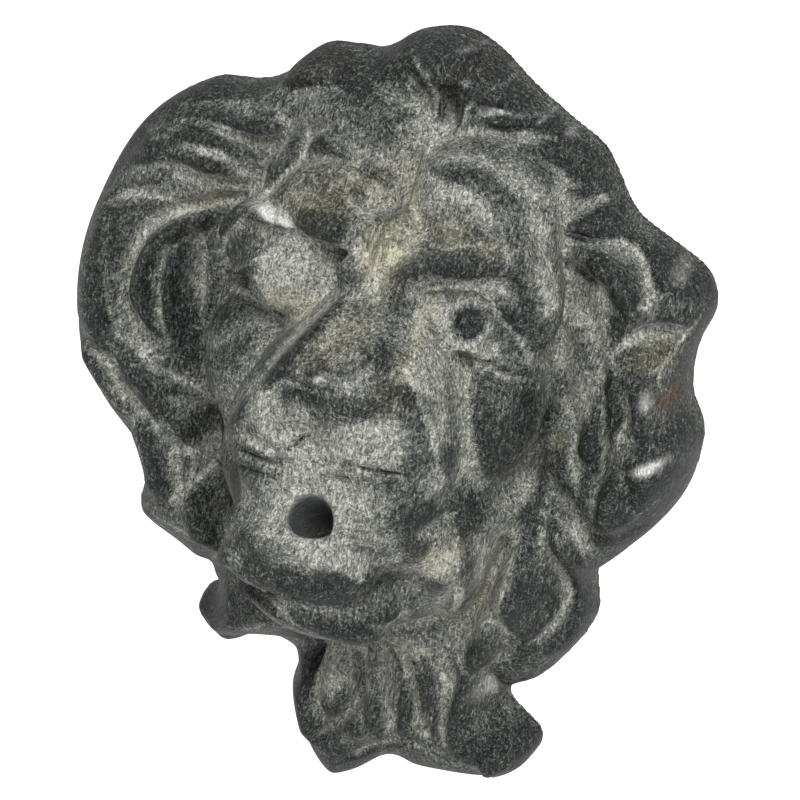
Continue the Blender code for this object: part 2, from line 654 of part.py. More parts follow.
def cut_spout(mask):
    """The bore runs from outside the mouth, through its boss, into the hollow of the chin."""
    way = Vector(to_metres(SPOUT_WAY)).normalized()
    mouth = Vector(to_metres(SPOUT_MOUTH))
    turn = way.to_track_quat("Z", "Y")
    points = []
    faces = [list(range(BORE_SIDES))[::-1], list(range(BORE_SIDES, 2 * BORE_SIDES))]
    for end in (-(BOSS_LENGTH + BORE_THROUGH) * UNIT, BORE_PAST * UNIT):
        for i in range(BORE_SIDES):
            angle = 2 * math.pi * i / BORE_SIDES
            ring = Vector((math.cos(angle), math.sin(angle), 0)) * SPOUT_BORE / 2
            points.append(mouth + turn @ (ring + Vector((0, 0, end))))
    for i in range(BORE_SIDES):
        after = (i + 1) % BORE_SIDES
        faces.append([i, after, after + BORE_SIDES, i + BORE_SIDES])
    as_cutter(add_object("spout_bore", points, faces), mask)


def cut_back(mask):
    """The wall plane cuts the back of the casting flat."""
    low, high = to_metres(SPACE_LOW), to_metres(SPACE_HIGH)
    points = [(x, y, z) for x in (low[0], high[0]) for y in (0, 2 * BACK_STOCK) for z in (low[2], high[2])]
    faces = [(0, 1, 3, 2), (4, 6, 7, 5), (0, 4, 5, 1), (2, 3, 7, 6), (0, 2, 6, 4), (1, 5, 7, 3)]
    as_cutter(add_object("wall_plane", points, faces), mask)


clear_scene()
lion_mask = cast_mask()
cut_spout(lion_mask)
cut_back(lion_mask)
lion_mask.location = (0, 0, WALL / 2 - CROWN[1] * UNIT)
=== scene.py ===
"""Looks of the lion mask wall spout: the casting's carving, its weathered lead, and the studio round it.

The mask is modelled at a finer step than its solid, from the same masses, so it fills the same box. The
free form is set out in units: x to the right as seen from the front, depth out from the wall, z up.
"""

import math

import bpy
import numpy as np
from mathutils import Matrix, Vector


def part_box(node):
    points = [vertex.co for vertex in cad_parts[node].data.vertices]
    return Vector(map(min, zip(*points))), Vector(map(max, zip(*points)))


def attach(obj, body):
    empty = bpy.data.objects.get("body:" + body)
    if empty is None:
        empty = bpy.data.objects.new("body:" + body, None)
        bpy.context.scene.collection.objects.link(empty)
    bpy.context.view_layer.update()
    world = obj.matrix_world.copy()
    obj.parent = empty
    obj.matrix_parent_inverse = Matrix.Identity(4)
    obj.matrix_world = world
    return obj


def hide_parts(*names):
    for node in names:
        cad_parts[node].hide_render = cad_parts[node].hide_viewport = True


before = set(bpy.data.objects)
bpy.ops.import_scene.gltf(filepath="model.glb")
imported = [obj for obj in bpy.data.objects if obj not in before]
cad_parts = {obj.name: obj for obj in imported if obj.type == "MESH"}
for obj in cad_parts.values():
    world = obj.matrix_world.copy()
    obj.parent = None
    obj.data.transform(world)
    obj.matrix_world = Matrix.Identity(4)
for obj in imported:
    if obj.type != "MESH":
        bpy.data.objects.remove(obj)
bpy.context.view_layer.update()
MASK_LOW, MASK_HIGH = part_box("lion_mask")

# Sizes in metres: the casting's wall and the bore, and the room left behind the back plane
WALL = 0.007
SPOUT_BORE = 0.016
BACK_STOCK = 0.008

# How fine the form and the hollow are worked, in units, how many rounds soften the hollow, and the triangles
# that the finished piece keeps
FORM_STEP = 1.3
HOLLOW_STEP = 2.8
BACK_SOFTENING = 3
TRIANGLES = 190000

# The drawing of the thin lines: its step in units, and what a height of one gives in tone and in relief. The
# tone is paler on the crests, where the patina is worn, and darker in the cracks, which is painted shade.
LINE_STEP = 0.7
LINE_TONE = 0.1
LINE_RISE = 0.45

# The rim of the mane is painted darker, as painted shade, from this far inside the outline down to the wall
RIM_SHADE = -0.16
RIM_NEAR, RIM_FAR = 4.0, 24.0

# How steeply a soft mark fades at its edge, and how far a face looks to the front where it starts to take
# marks and where it takes them whole
MARK_FADE = 1.5
FACING_START, FACING_FULL = -0.05, 0.4

# Where the form is hollow or stands high: the distances near its surface, up to NEAR_FORM, are averaged over
# a reach in units, once or twice. The mean is below zero in a hollow.
NEAR_FORM = 8.0
HOLLOWS = {"fine_hollow": (1.4, 2), "hollow": (3.5, 2), "wide_hollow": (7.0, 1)}

# The form with its hollow takes over where its distances pass those of the finer form by this much
INNER_LEAD = 0.5

# The painted shade of the bore: its soft edge outside the rim, and how far before and behind the mouth it
# sets in
BORE_SHADE_EDGE = (0.3, 1.2)
BORE_SHADE_START = 4.0

# The form's own units
UNITS_TALL = 331.0
UNIT = (MASK_HIGH.z - MASK_LOW.z) / UNITS_TALL

# Where the outline of the mane meets the wall, clockwise from the crown: x, z
OUTLINE = [
    (-1, 159), (14, 154), (28, 144), (44, 135), (60, 126), (69, 115), (78, 103), (94, 95), (109, 87),
    (115, 74), (111, 57), (112, 39), (120, 22), (117, -7), (100, -34), (90, -46), (93, -68), (80, -95),
    (66, -107), (65, -116), (81, -130), (69, -149), (35, -156), (20, -155), (5, -168), (-7, -172),
    (-21, -157), (-30, -130), (-29, -118), (-44, -115), (-62, -124), (-78, -108), (-69, -96),
    (-84, -84), (-107, -70), (-108, -45), (-129, -23), (-143, 1), (-145, 38), (-140, 66),
    (-125, 99), (-101, 118), (-84, 121), (-72, 126), (-57, 141), (-42, 144), (-31, 146), (-18, 155)]
CROWN = OUTLINE[0]

# The mane's dome: the rim's height, the crest above it, how far in the crest stands, and how round the rim is
RIM_HEIGHT = 6.0
MANE_CREST = 38.0
MANE_SHOULDER = 34.0
MANE_EDGE = 5.0

# The beard is lower than the rest of the mane, from one height down to another
BEARD_DROP = 12.0
BEARD_TOP, BEARD_FOOT = -50.0, -110.0

# The valley between the face and the mane runs in an oval round the face: x and z
FACE_VALLEY = 16.0
FACE_MIDDLE = (-5.0, 38.0)
FACE_OVAL = (71.0, 95.0)
VALLEY_WIDTH = 0.2

# Locks thin towards the rim over this distance, down to this share of their height
RIM_FADE = 12.0
RIM_SHARE = 0.5

# The muzzle: how far its front stands out at each height, its half-width there, and its middle
MUZZLE_FRONT = [(-96, -20), (-84, 24), (-76, 56), (-68, 80), (-60, 94), (-50, 102), (-40, 101), (-32, 106),
                (-20, 117), (-6, 116), (8, 108), (20, 107), (34, 110), (44, 113), (52, 113), (60, 106),
                (68, 91), (76, 75), (86, 64)]
MUZZLE_HALF = [(-78, 20), (-60, 26), (-40, 30), (-20, 32), (-8, 34), (4, 38), (20, 40), (34, 37), (46, 31),
               (58, 23), (72, 15), (84, 10)]
MUZZLE_MIDDLE = [(-78, -4), (-40, -3), (-20, -1), (-8, 1), (8, -1), (30, -1), (50, 2), (66, 2), (86, 1)]

# The muzzle's sides lean out by a share of its depth, and its front is bowed. Both grow from lip to chin.
MUZZLE_EDGE = 10.0
MUZZLE_SPLAY, CHIN_SPLAY = 0.16, 0.5
MUZZLE_BULGE, CHIN_BULGE = 0.006, 0.018
CHIN_TOP, CHIN_FOOT = 6.0, -20.0

# The spout: the middle of its mouth, the way that the bore comes out of it, how long the boss round the bore
# is behind the mouth, and how far the bore runs past the mouth and past the boss
SPOUT_MOUTH = (-1.0, 118.0, -2.0)
SPOUT_WAY = (-0.126, 0.677, 0.725)
BOSS_LENGTH = 40.0
BORE_PAST = 30.0
BORE_THROUGH = 5.0

# Where two ridges meet, the corner between them is rounded over this width
RIDGE_BLEND = 2.0

# Slopes of a height over the front view count up to this much
STEEPEST = 3.0

# The block of space that the form is worked in: lowest and highest x, depth and z
ROOM = 8.0
SPACE_LOW = (min(x for x, z in OUTLINE) - ROOM, -BACK_STOCK / UNIT, min(z for x, z in OUTLINE) - ROOM)
SPACE_HIGH = (max(x for x, z in OUTLINE) + ROOM, SPOUT_MOUTH[1] + 2 * ROOM, max(z for x, z in OUTLINE) + ROOM)

# Colours of the lead from its darkest tone to its palest, and of what lies on it, at equal steps of light
LEAD_STEP = 0.2
LEAD_COLORS = [(0.006, 0.007, 0.007), (0.022, 0.024, 0.023), (0.068, 0.072, 0.065), (0.145, 0.15, 0.134),
               (0.28, 0.28, 0.25), (0.44, 0.44, 0.4)]
LAYER_STEP = 0.4
LAYER_COLORS = {"lime": [(0.05, 0.05, 0.036), (0.155, 0.15, 0.11), (0.42, 0.4, 0.3)],
                "olive": [(0.01, 0.009, 0.006), (0.073, 0.068, 0.047), (0.26, 0.25, 0.18)],
                "rust": [(0.025, 0.012, 0.007), (0.09, 0.045, 0.028), (0.24, 0.15, 0.1)],
                "white": [(0.3, 0.3, 0.29), (0.6, 0.6, 0.58), (0.85, 0.85, 0.82)]}
# The colour of the shade painted inside the bore
BORE_SHADE_COLOR = (0.075, 0.077, 0.077, 1)

# The lead's tone: where it starts, how pale the hollows make it at most, the limits of its broad changes
# before the grain is added, and how much light a tone of one gives
BASE_TONE = 0.46
HOLLOW_MOST = 0.3
TONE_LOW, TONE_HIGH = 0.12, 0.77
TONE_LIGHT = 0.8

# The streaks run one way: how much finer their noise is across, in depth and along them
STREAK_STRETCH = (5, 2, 1)

# How far the finest relief of the lead stands out, in metres
RELIEF_RISE = 0.0012

# The studio: its floor, and the lights of the room, of what shows past the floor, and of the key lamp
FLOOR_DROP = 1.2
FLOOR_SIZE = 60.0
FLOOR_COLOR = (0.93, 0.93, 0.93)
ROOM_LIGHT = 0.45
BACKDROP_LIGHT = 1.0
KEY_POWER = 4.5
KEY_TURN, KEY_RISE, KEY_SPREAD = 20.0, 48.0, 35.0

# The photograph's view of the mask: angles in degrees, and where the camera aims, in metres
LENS = 98.55
VIEW_TURN, VIEW_RISE, VIEW_LEAN = 15.0, 22.0, -9.0
VIEW_FAR = 0.85
VIEW_AIM = (0.007, -0.045, -0.1355)


def smooth_step(value, low, high):
    share = np.clip((value - low) / (high - low), 0.0, 1.0)
    return share * share * (3.0 - 2.0 * share)


def melt(a, b, blend):
    """The lower of two distances, with the corner between them rounded over a width."""
    near = np.maximum(blend - np.abs(a - b), 0.0) / blend
    return np.minimum(a, b) - 0.25 * blend * near * near


def smooth_line(points, steps, closed=False):
    """A line that bends smoothly through the points."""
    p = np.array(points, float)
    if not closed:
        p = np.vstack([2 * p[0] - p[1], p, 2 * p[-1] - p[-2]])
    last = len(p) if closed else len(p) - 3
    line = []
    for i in range(last):
        a, b, c, d = (p[(i + k - closed) % len(p)] for k in range(4))
        for t in np.arange(steps) / steps:
            bend = (2 * a - 5 * b + 4 * c - d) * t * t + (3 * b - a - 3 * c + d) * t ** 3
            line.append(0.5 * (2 * b + (c - a) * t + bend))
    line.append(line[0] if closed else p[-2])
    return np.array(line)


def read_off(profile, z):
    line = smooth_line(profile, 8)
    return np.interp(z, line[:, 0], line[:, 1])


def line_distance(x, z, line):
    """How far each place is from a line, and the share of the line's length at its nearest point."""
    best = np.full(np.broadcast(x, z).shape, np.inf)
    share = np.zeros_like(best)
    for i, (a, b) in enumerate(zip(line[:-1], line[1:])):
        run = b - a
        t = np.clip(((x - a[0]) * run[0] + (z - a[1]) * run[1]) / max(run @ run, 1e-9), 0, 1)
        far = np.hypot(x - a[0] - t * run[0], z - a[1] - t * run[1])
        closer = far < best
        best = np.where(closer, far, best)
        share = np.where(closer, (i + t) / (len(line) - 1), share)
    return best, share


def outline_distance(x, z):
    """Distance to the outline, below zero inside it."""
    line = smooth_line(OUTLINE, 5, closed=True)
    far, _ = line_distance(x, z, line)
    inside = np.zeros(far.shape, bool)
    for a, b in zip(line[:-1], line[1:]):
        if a[1] != b[1]:
            crossing = (b[0] - a[0]) * (z - a[1]) / (b[1] - a[1]) + a[0]
            inside ^= ((a[1] > z) != (b[1] > z)) & (x < crossing)
    return np.where(inside, -far, far)


class Relief:
    """Ridges and grooves, as heights over the front view."""

    def __init__(self, x, z):
        self.x = x[:, None]
        self.z = z[None, :]
        self.height = np.zeros((len(x), len(z)))

    def stroke(self, start, end, bow, swing, reach):
        """The places near an arc, their distance from it, and how full the stroke is there."""
        a, b = np.array(start, float), np.array(end, float)
        run = b - a
        side = np.array([-run[1], run[0]]) / np.hypot(*run)
        t = np.linspace(0, 1, 15)[:, None]
        line = a + run * t + side * (bow * np.sin(math.pi * t) + swing * np.sin(2 * math.pi * t))
        low, high = line.min(0) - reach, line.max(0) + reach
        across = slice(*np.searchsorted(self.x[:, 0], (low[0], high[0])))
        up = slice(*np.searchsorted(self.z[0], (low[1], high[1])))
        far, share = line_distance(self.x[across], self.z[:, up], line)
        return (across, up), far, share

    def ridge(self, start, end, bow, width, rise, swing=0.0):
        """A rounded ridge, such as a lock of hair, that thins to both ends."""
        place, far, share = self.stroke(start, end, bow, swing, width + 1)
        full = np.minimum(1.0, np.sin(math.pi * (0.06 + 0.88 * share)) * 1.4)
        body = np.maximum(1 - (far / (width * (0.35 + 0.65 * full))) ** 2, 0.0) ** 1.4
        blend = np.maximum(RIDGE_BLEND * full * body, 1e-6)
        self.height[place] = -melt(-self.height[place], -rise * full * body, blend)

    def groove(self, start, end, bow, width, depth, swing=0.0):
        """A narrow furrow."""
        place, far, share = self.stroke(start, end, bow, swing, 2.2 * width)
        full = np.sin(math.pi * (0.03 + 0.94 * share)) ** 0.6
        self.height[place] -= depth * full * np.exp(-(far / (width * full + 0.2)) ** 2)


def comb_crown(ridge, groove):
    ridge((-26, 146), (14, 150), 6, 17, 14.5)
    ridge((-71, 131), (-37, 141), 3, 12.5, 13)
    ridge((7, 151), (39, 139), 2, 12.5, 9.5)
    ridge((-15, 151), (2, 127), 5, 3, 6.5)
    ridge((11, 146), (9, 125), 3, 3, 5.5)
    ridge((23, 134), (42, 136), -1, 5, 6.5)
    ridge((50, 132), (72, 110), 3, 9, 9.5)
    groove((-47, 147), (-24, 137), 3, 7.5, 10)
    groove((-82, 125), (-53, 126), -1, 5.8, 7.5)
    groove((-59, 126), (-22, 136), 3, 4.5, 6.5)
    groove((-21, 146), (-6, 144), 0, 5.2, 6.5)
    groove((-4, 148), (23, 145), 3, 5.2, 7.5)
    groove((3, 144), (4, 125), 2, 4.5, 5.5)
    groove((14, 138), (47, 143), -4, 3.3, 5.5)
    groove((21, 129), (46, 134), 0, 2.6, 4)
    groove((12, 123), (58, 127), 5, 3.6, 4)
    groove((41, 128), (67, 111), 1, 9.8, 7.5)


def comb_left_tufts(ridge, groove):
    ridge((-119, 104), (-68, 120), 6, 11.5, 7)
    ridge((-98, 108), (-58, 113), 3, 8, 7)
    ridge((-112, 95), (-79, 101), 5, 7, 5.5)
    ridge((-120, 85), (-74, 90), 9, 8, 7)
    groove((-118, 100), (-48, 119), 6, 2.9, 4.5, swing=3)
    groove((-108, 98), (-47, 114), 1, 2.9, 4.5, swing=5)
    groove((-104, 94), (-72, 91), 7, 2.6, 4)
    groove((-123, 76), (-74, 84), 10, 6, 4.5)
    groove((-126, 68), (-84, 79), 4, 2.9, 5.5)


def comb_left_sweep(ridge, groove):
    ridge((-115, 73), (-120, 7), -11, 15, 10.5)
    ridge((-80, 74), (-97, 22), -17, 9, 9)
    ridge((-89, 67), (-88, 16), -5, 7, 6.5)
    groove((-71, 81), (-113, 28), -15, 3.6, 9.5)
    groove((-113, 32), (-73, -15), -7, 4.5, 9.5)
    groove((-95, 64), (-92, 18), -6, 2.3, 4)
    groove((-88, 71), (-85, 9), -1, 3.9, 8)
    groove((-121, 67), (-113, 14), -3, 2.1, 2.5)
    groove((-128, 66), (-97, 78), 3, 2.6, 6)


def comb_lower_left(ridge, groove):
    ridge((-133, 10), (-102, -20), 0, 9, 8)
    ridge((-113, 11), (-73, -28), 3, 10.5, 9.5)
    ridge((-100, -14), (-89, -53), 1, 10.5, 11)
    ridge((-82, -23), (-77, -43), 3, 7, 6.5)
    ridge((-71, -35), (-63, -66), -2, 10.5, 11)
    ridge((-70, -107), (-10, -50), -12, 17, 13)
    groove((-128, 6), (-106, -11), 4, 3.4, 6)
    groove((-93, -8), (-73, -53), 1, 2.6, 6, swing=2)
    groove((-83, -23), (-76, -44), 7, 1.7, 4.5)
    groove((-88, -4), (-57, -64), 7, 6, 14, swing=2)
    groove((-77, -97), (-52, -68), 4, 4.5, 8)


def comb_right_curl(ridge, groove):
    ridge((62, 103), (106, 88), 4, 12.5, 11)
    ridge((66, 91), (89, 76), 6, 9, 9)
    ridge((99, 84), (110, 81), 5, 8, 5.5)
    groove((57, 103), (81, 109), 5, 3.4, 11)
    groove((58, 97), (97, 68), 13, 2.9, 8)
    groove((59, 87), (75, 64), 5, 3.9, 7)
    groove((97, 93), (109, 83), 0, 1.8, 2.5)


def comb_right_bulge(ridge, groove):
    ridge((94, 61), (106, -3), 13, 19.5, 14.5, swing=-2)
    ridge((86, 51), (92, 25), -2, 7, 8)
    ridge((96, 50), (99, 26), -2, 6, 5)
    ridge((94, 9), (103, -13), -3, 10.5, 9.5)
    groove((86, 61), (112, 67), 5, 3.9, 9.5)
    groove((92, 47), (94, 23), 1, 2.3, 6)
    groove((80, 56), (89, -10), 3, 3.6, 11)
    groove((77, 20), (88, -8), -4, 2.1, 6)
    ridge((80, 27), (80, 14), 2, 5, 6.5)


def comb_lower_right(ridge, groove):
    ridge((66, 72), (72, 33), 1, 9, 5)
    ridge((62, 34), (76, 2), -3, 10.5, 8)
    ridge((64, -3), (72, -64), -8, 12.5, 13)
    ridge((74, -15), (89, -56), 6, 8, 8)
    ridge((92, -19), (109, -10), -5, 7, 3)
    ridge((79, -79), (91, -56), -8, 8, 6.5)
    ridge((57, -55), (51, -93), 3, 7, 8)
    groove((63, 5), (40, -87), 3, 5, 11)
    groove((74, -25), (72, -74), 11, 3.4, 8, swing=-2)
    groove((68, -2), (89, -26), 5, 3.1, 8)
    groove((70, -70), (54, -110), -1, 2.9, 6)


def comb_beard(ridge, groove):
    ridge((-18, -108), (-8, -151), -8, 10.5, 11)
    ridge((-7, -102), (-3, -135), 2, 10.5, 8)
    ridge((10, -96), (14, -138), 3, 7.5, 9.5)
    ridge((24, -102), (28, -134), 3, 6, 8)
    ridge((32, -93), (43, -132), 1, 6, 8)
    ridge((47, -95), (63, -137), -5, 11.5, 11)
    ridge((61, -135), (75, -128), 0, 15, 13)
    ridge((2, -138), (23, -132), 2, 10.5, 8)
    groove((2, -98), (-12, -148), 9, 2.6, 8, swing=1)
    groove((13, -89), (21, -125), 3, 2.6, 8)
    groove((22, -92), (39, -133), 2, 2.5, 8)
    groove((38, -85), (48, -139), 1, 2.3, 8, swing=3)
    groove((32, -118), (30, -131), 0, 1.6, 4.5)
    groove((57, -88), (68, -123), -4, 3.9, 8)
    groove((2, -156), (39, -138), 7, 1.8, 4.5, swing=-2)


class Clay:
    """A block of places that each hold a distance to the form's surface, below zero inside it."""

    def __init__(self, step):
        self.step = step
        self.axes = [np.arange(a, b + step, step) for a, b in zip(SPACE_LOW, SPACE_HIGH)]
        self.field = None

    def block(self, low, high):
        part = tuple(slice(*np.searchsorted(axis, ends)) for axis, *ends in zip(self.axes, low, high))
        x, depth, z = (axis[span] for axis, span in zip(self.axes, part))
        return part, x[:, None, None], depth[None, :, None], z[None, None, :]

    def join(self, part, shape, blend):
        self.field[part] = melt(self.field[part], shape, blend)

    def ball(self, centre, radii, blend, turn=0.0):
        """An egg shape, turned by degrees in the front view."""
        middle, size = np.array(centre, float), np.array(radii, float)
        reach = size.max() + blend + 3
        part, x, depth, z = self.block(middle - reach, middle + reach)
        x, depth, z = x - middle[0], depth - middle[1], z - middle[2]
        angle = math.radians(turn)
        u = x * math.cos(angle) + z * math.sin(angle)
        w = z * math.cos(angle) - x * math.sin(angle)
        share = np.sqrt((u / size[0]) ** 2 + (depth / size[1]) ** 2 + (w / size[2]) ** 2)
        slope = np.sqrt((u / size[0] ** 2) ** 2 + (depth / size[1] ** 2) ** 2 + (w / size[2] ** 2) ** 2)
        self.join(part, share * (share - 1) / (slope + 1e-6), blend)

    def roll(self, points, radii, blend):
        """A round roll along a smooth line."""
        line = smooth_line([(*point, radius) for point, radius in zip(points, radii)], 4)
        reach = max(radii) + blend + 3
        part, x, depth, z = self.block(line[:, :3].min(0) - reach, line[:, :3].max(0) + reach)
        shape = np.full(np.broadcast(x, depth, z).shape, np.inf)
        for a, b in zip(line[:-1], line[1:]):
            run = (b - a)[:3]
            t = (x - a[0]) * run[0] + (depth - a[1]) * run[1] + (z - a[2]) * run[2]
            t = np.clip(t / max(run @ run, 1e-9), 0, 1)
            far = ((x - a[0] - t * run[0]) ** 2 + (depth - a[1] - t * run[1]) ** 2
                   + (z - a[2] - t * run[2]) ** 2)
            shape = np.minimum(shape, np.sqrt(far) - a[3] - t * (b[3] - a[3]))
        self.join(part, shape, blend)


def raise_mane(clay):
    """The dome of hair inside the outline, with its locks, and the valley where the face sits."""
    x, depth, z = clay.axes
    edge = outline_distance(x[:, None], z[None, :])
    inset = np.maximum(-edge, 0)
    mane = Relief(x, z)
    for comb in (comb_crown, comb_left_tufts, comb_left_sweep, comb_lower_left, comb_right_curl,
                 comb_right_bulge, comb_lower_right, comb_beard):
        comb(mane.ridge, mane.groove)
    crest = MANE_CREST - BEARD_DROP * smooth_step(-mane.z, -BEARD_TOP, -BEARD_FOOT)
    dome = RIM_HEIGHT + crest * np.sqrt(1 - (1 - np.minimum(inset / MANE_SHOULDER, 1)) ** 2)
    across, up = (mane.x - FACE_MIDDLE[0]) / FACE_OVAL[0], (mane.z - FACE_MIDDLE[1]) / FACE_OVAL[1]
    valley = np.exp(-((np.hypot(across, up) - 1) / VALLEY_WIDTH) ** 2)
    dome -= FACE_VALLEY * valley * smooth_step(inset, RIM_FADE / 2, MANE_SHOULDER)
    top = dome + mane.height * (RIM_SHARE + (1 - RIM_SHARE) * smooth_step(inset, 0, RIM_FADE))
    slope_x, slope_z = np.gradient(top, clay.step)
    steep = np.sqrt(1 + np.minimum(slope_x ** 2 + slope_z ** 2, STEEPEST ** 2))
    hair = (depth[None, :, None] - top[:, None, :]) / steep[:, None, :]
    clay.field = -melt(-hair, -edge[:, None, :], MANE_EDGE)


def model_brow(clay):
    clay.ball((-24, 24, 118), (30, 28, 22), 8)
    clay.ball((-29, 33, 98), (33, 33, 24), 5, turn=12)
    clay.ball((26, 33, 102), (30, 33, 26), 5, turn=-12)
    clay.roll([(11, 67, 85), (27, 66, 89), (44, 59, 91)], [7, 8, 7], 10)
    clay.roll([(-7, 67, 91), (-21, 67, 92), (-38, 60, 91), (-55, 53, 80)], [7, 8, 9, 9], 9)
    clay.ball((-1, 60, 86), (10, 16, 14), 8)
    clay.ball((-58, 44, 70), (14, 15, 15), 8, turn=-20)
    clay.ball((53, 45, 75), (10, 15, 20), 10, turn=12)


def model_eyes(clay):
    clay.ball((30, 52, 66), (22, 20, 16), 10)
    clay.ball((-34, 52, 68), (22, 20, 17), 10)
    clay.ball((33, 63, 63), (11, 12, 9), 4)
    clay.ball((-37, 58, 64), (19, 15, 13), 9, turn=14)


def model_cheeks(clay):
    clay.ball((40, 41, 29), (23, 36, 34), 9)
    clay.ball((-54, 34, 24), (23, 32, 31), 5)
    clay.ball((-44, 40, -12), (18, 26, 30), 12)
    clay.ball((37, 52, -22), (18, 31, 29), 8, turn=6)


def model_muzzle(clay):
    low, high = MUZZLE_FRONT[0][0] - ROOM, MUZZLE_FRONT[-1][0] + ROOM
    part, x, depth, z = clay.block((SPACE_LOW[0], 0, low), (SPACE_HIGH[0], SPACE_HIGH[1], high))
    front = read_off(MUZZLE_FRONT, z)
    slope = np.minimum(np.gradient(front[0, 0], clay.step) ** 2, STEEPEST ** 2)
    off = x - read_off(MUZZLE_MIDDLE, z)
    chin = smooth_step(-z, -CHIN_TOP, -CHIN_FOOT)
    splay = MUZZLE_SPLAY + (CHIN_SPLAY - MUZZLE_SPLAY) * chin
    half = read_off(MUZZLE_HALF, z) + np.maximum(front - MUZZLE_EDGE - depth, -MUZZLE_EDGE) * splay
    side = (np.abs(off) - half) / np.sqrt(1 + splay ** 2)
    bulge = off ** 2 * (MUZZLE_BULGE + (CHIN_BULGE - MUZZLE_BULGE) * chin)
    face = (depth - front + bulge) / np.sqrt(1 + slope)
    clay.join(part, -melt(-side, -face, MUZZLE_EDGE), 7)
    for middle in (16, -21):
        clay.ball((middle, 91, 17), (19, 21, 17), 14)
    clay.ball((0, 101, 42), (19, 14, 13), 9)
    clay.roll([(-30, 103, -19), (-14, 111, -19), (0, 112, -19), (16, 106, -26)], [7, 11, 11, 8], 8)
    clay.ball((-7, 104, -31), (29, 18, 12), 5)
    clay.ball((1, 88, -50), (30, 19, 13), 8)
    clay.ball((-9, 74, 76), (7, 9, 8), 5)
    clay.ball((10, 74, 76), (7, 9, 8), 5)


def shape_face(clay):
    clay.ball((-7, 12, 40), (62, 46, 80), 14)
    model_brow(clay)
    model_eyes(clay)
    model_cheeks(clay)
    model_muzzle(clay)
    carve_face(clay)


def carve_forehead(ridge, groove):
    groove((-5, 126), (0, 78), 0, 14.5, 5)
    groove((-56, 87), (-8, 103), 16, 2.6, 5)
    groove((-43, 107), (-36, 121), 5, 3, 5)
    groove((6, 97), (45, 94), 13, 2.6, 6)
    ridge((5, 116), (52, 88), 14, 5, 3, swing=1)
    groove((12, 92), (40, 93), 0, 3, 5)
    ridge((6, 83), (40, 90), 0, 7.5, 4)
    ridge((-37, 91), (-12, 87), 2, 7.5, 4)
    ridge((-75, 65), (-39, 86), 10, 4, 4.5)


def carve_right_eye(ridge, groove):
    groove((22, 70), (42, 71), 6, 2.4, 5)
    groove((42, 72), (35, 56), 5, 2.4, 5)
    groove((35, 56), (23, 64), 2, 2.4, 4.5)
    groove((32, 68), (36, 69), 0, 5, 4)
    ridge((17, 76), (53, 64), 10, 3, 3.5)
    ridge((24, 60), (58, 48), 2, 3, 3.5)
    groove((30, 56), (56, 46), 1, 2.4, 2.5)


def carve_left_eye(ridge, groove):
    ridge((-76, 48), (-46, 74), -1, 2.3, 3)
    groove((-73, 46), (-53, 63), -1, 2.6, 3)
    ridge((-77, 43), (-40, 45), 5, 2.3, 3)
    groove((-80, 39), (-39, 43), 7, 2.2, 3)


def carve_muzzle(ridge, groove):
    ridge((-9, 70), (-41, 15), 0, 4, 3.5)
    groove((-13, 68), (-35, 31), 0, 2.8, 3)
    ridge((16, 75), (43, 4), 6, 3, 2)
    groove((23, 80), (49, -6), 4, 3, 3)
    groove((23, 50), (32, 14), -1, 3.5, 4)
    groove((-5, 69), (-16, 45), 3, 2.5, 1.5)
    groove((-22, 41), (3, 31), 5, 3.4, 6.5)
    groove((3, 31), (26, 40), 2, 3.4, 6)
    ridge((-28, 21), (-10, 30), 8, 9, 4)
    ridge((5, 20), (26, 33), 0, 9, 3.5)
    groove((-34, 18), (-15, 14), 1, 1.5, 2.5)
    groove((-33, 9), (-16, 8), 1, 1.5, 2.5)
    groove((6, 17), (31, 16), 2, 1.3, 2.5)
    groove((1, 9), (12, 12), 0, 1.6, 2)
    groove((10, 59), (12, 62), 0, 1, 1.5)
    groove((1, 55), (9, 55), 0, 1.2, 1.5)


def carve_mouth(ridge, groove):
    ridge((-42, -49), (4, -16), 14, 5, 2.5, swing=-2)
    ridge((-19, -21), (18, -29), 12, 6.5, 4)
    groove((8, -7), (27, -45), 8, 5.5, 4.5)
    groove((-24, -43), (12, -40), 1, 3.5, 4.5)
    ridge((-52, -70), (5, -56), 13, 3.7, 4)
    ridge((-9, -50), (28, -58), 4, 8.5, 4)
    groove((31, -6), (32, -73), -1, 3.1, 4)
    ridge((34, -12), (43, -39), 4, 10.5, 5)
    groove((42, -5), (50, -44), 7, 3.1, 5)
    ridge((48, -11), (35, -75), 8, 3.7, 5)
    groove((35, -11), (44, -4), 0, 3.1, 3)


def carve_face(clay):
    """The lines of the face, pressed into the form from the front."""
    x, _, z = clay.axes
    face = Relief(x, z)
    for carve in (carve_forehead, carve_right_eye, carve_left_eye, carve_muzzle, carve_mouth):
        carve(face.ridge, face.groove)
    clay.field -= face.height[:, None, :]


def soften(field, rounds):
    """Each place takes the mean of itself and its neighbours, along each axis in turn."""
    for axis in [0, 1, 2] * rounds:
        span = [(1, 1) if a == axis else (0, 0) for a in range(3)]
        wide = np.moveaxis(np.pad(field, span, mode="edge"), axis, 0)
        field = np.moveaxis((wide[:-2] + 2 * wide[1:-1] + wide[2:]) / 4, 0, axis)
    return field


def from_spout(x, depth, z):
    """How far places lie along the bore, out from its mouth, and off its middle line."""
    way = np.array(SPOUT_WAY) / np.linalg.norm(SPOUT_WAY)
    x, depth, z = x - SPOUT_MOUTH[0], depth - SPOUT_MOUTH[1], z - SPOUT_MOUTH[2]
    along = x * way[0] + depth * way[1] + z * way[2]
    return along, np.sqrt(np.maximum(x * x + depth * depth + z * z - along * along, 0))


def spout_boss(clay, wall):
    """Distance to the round boss that stands in the hollow round the bore."""
    x, depth, z = clay.axes
    along, off = from_spout(x[:, None, None], depth[None, :, None], z[None, None, :])
    return np.maximum(off - SPOUT_BORE / 2 / UNIT - wall, -BOSS_LENGTH - along)


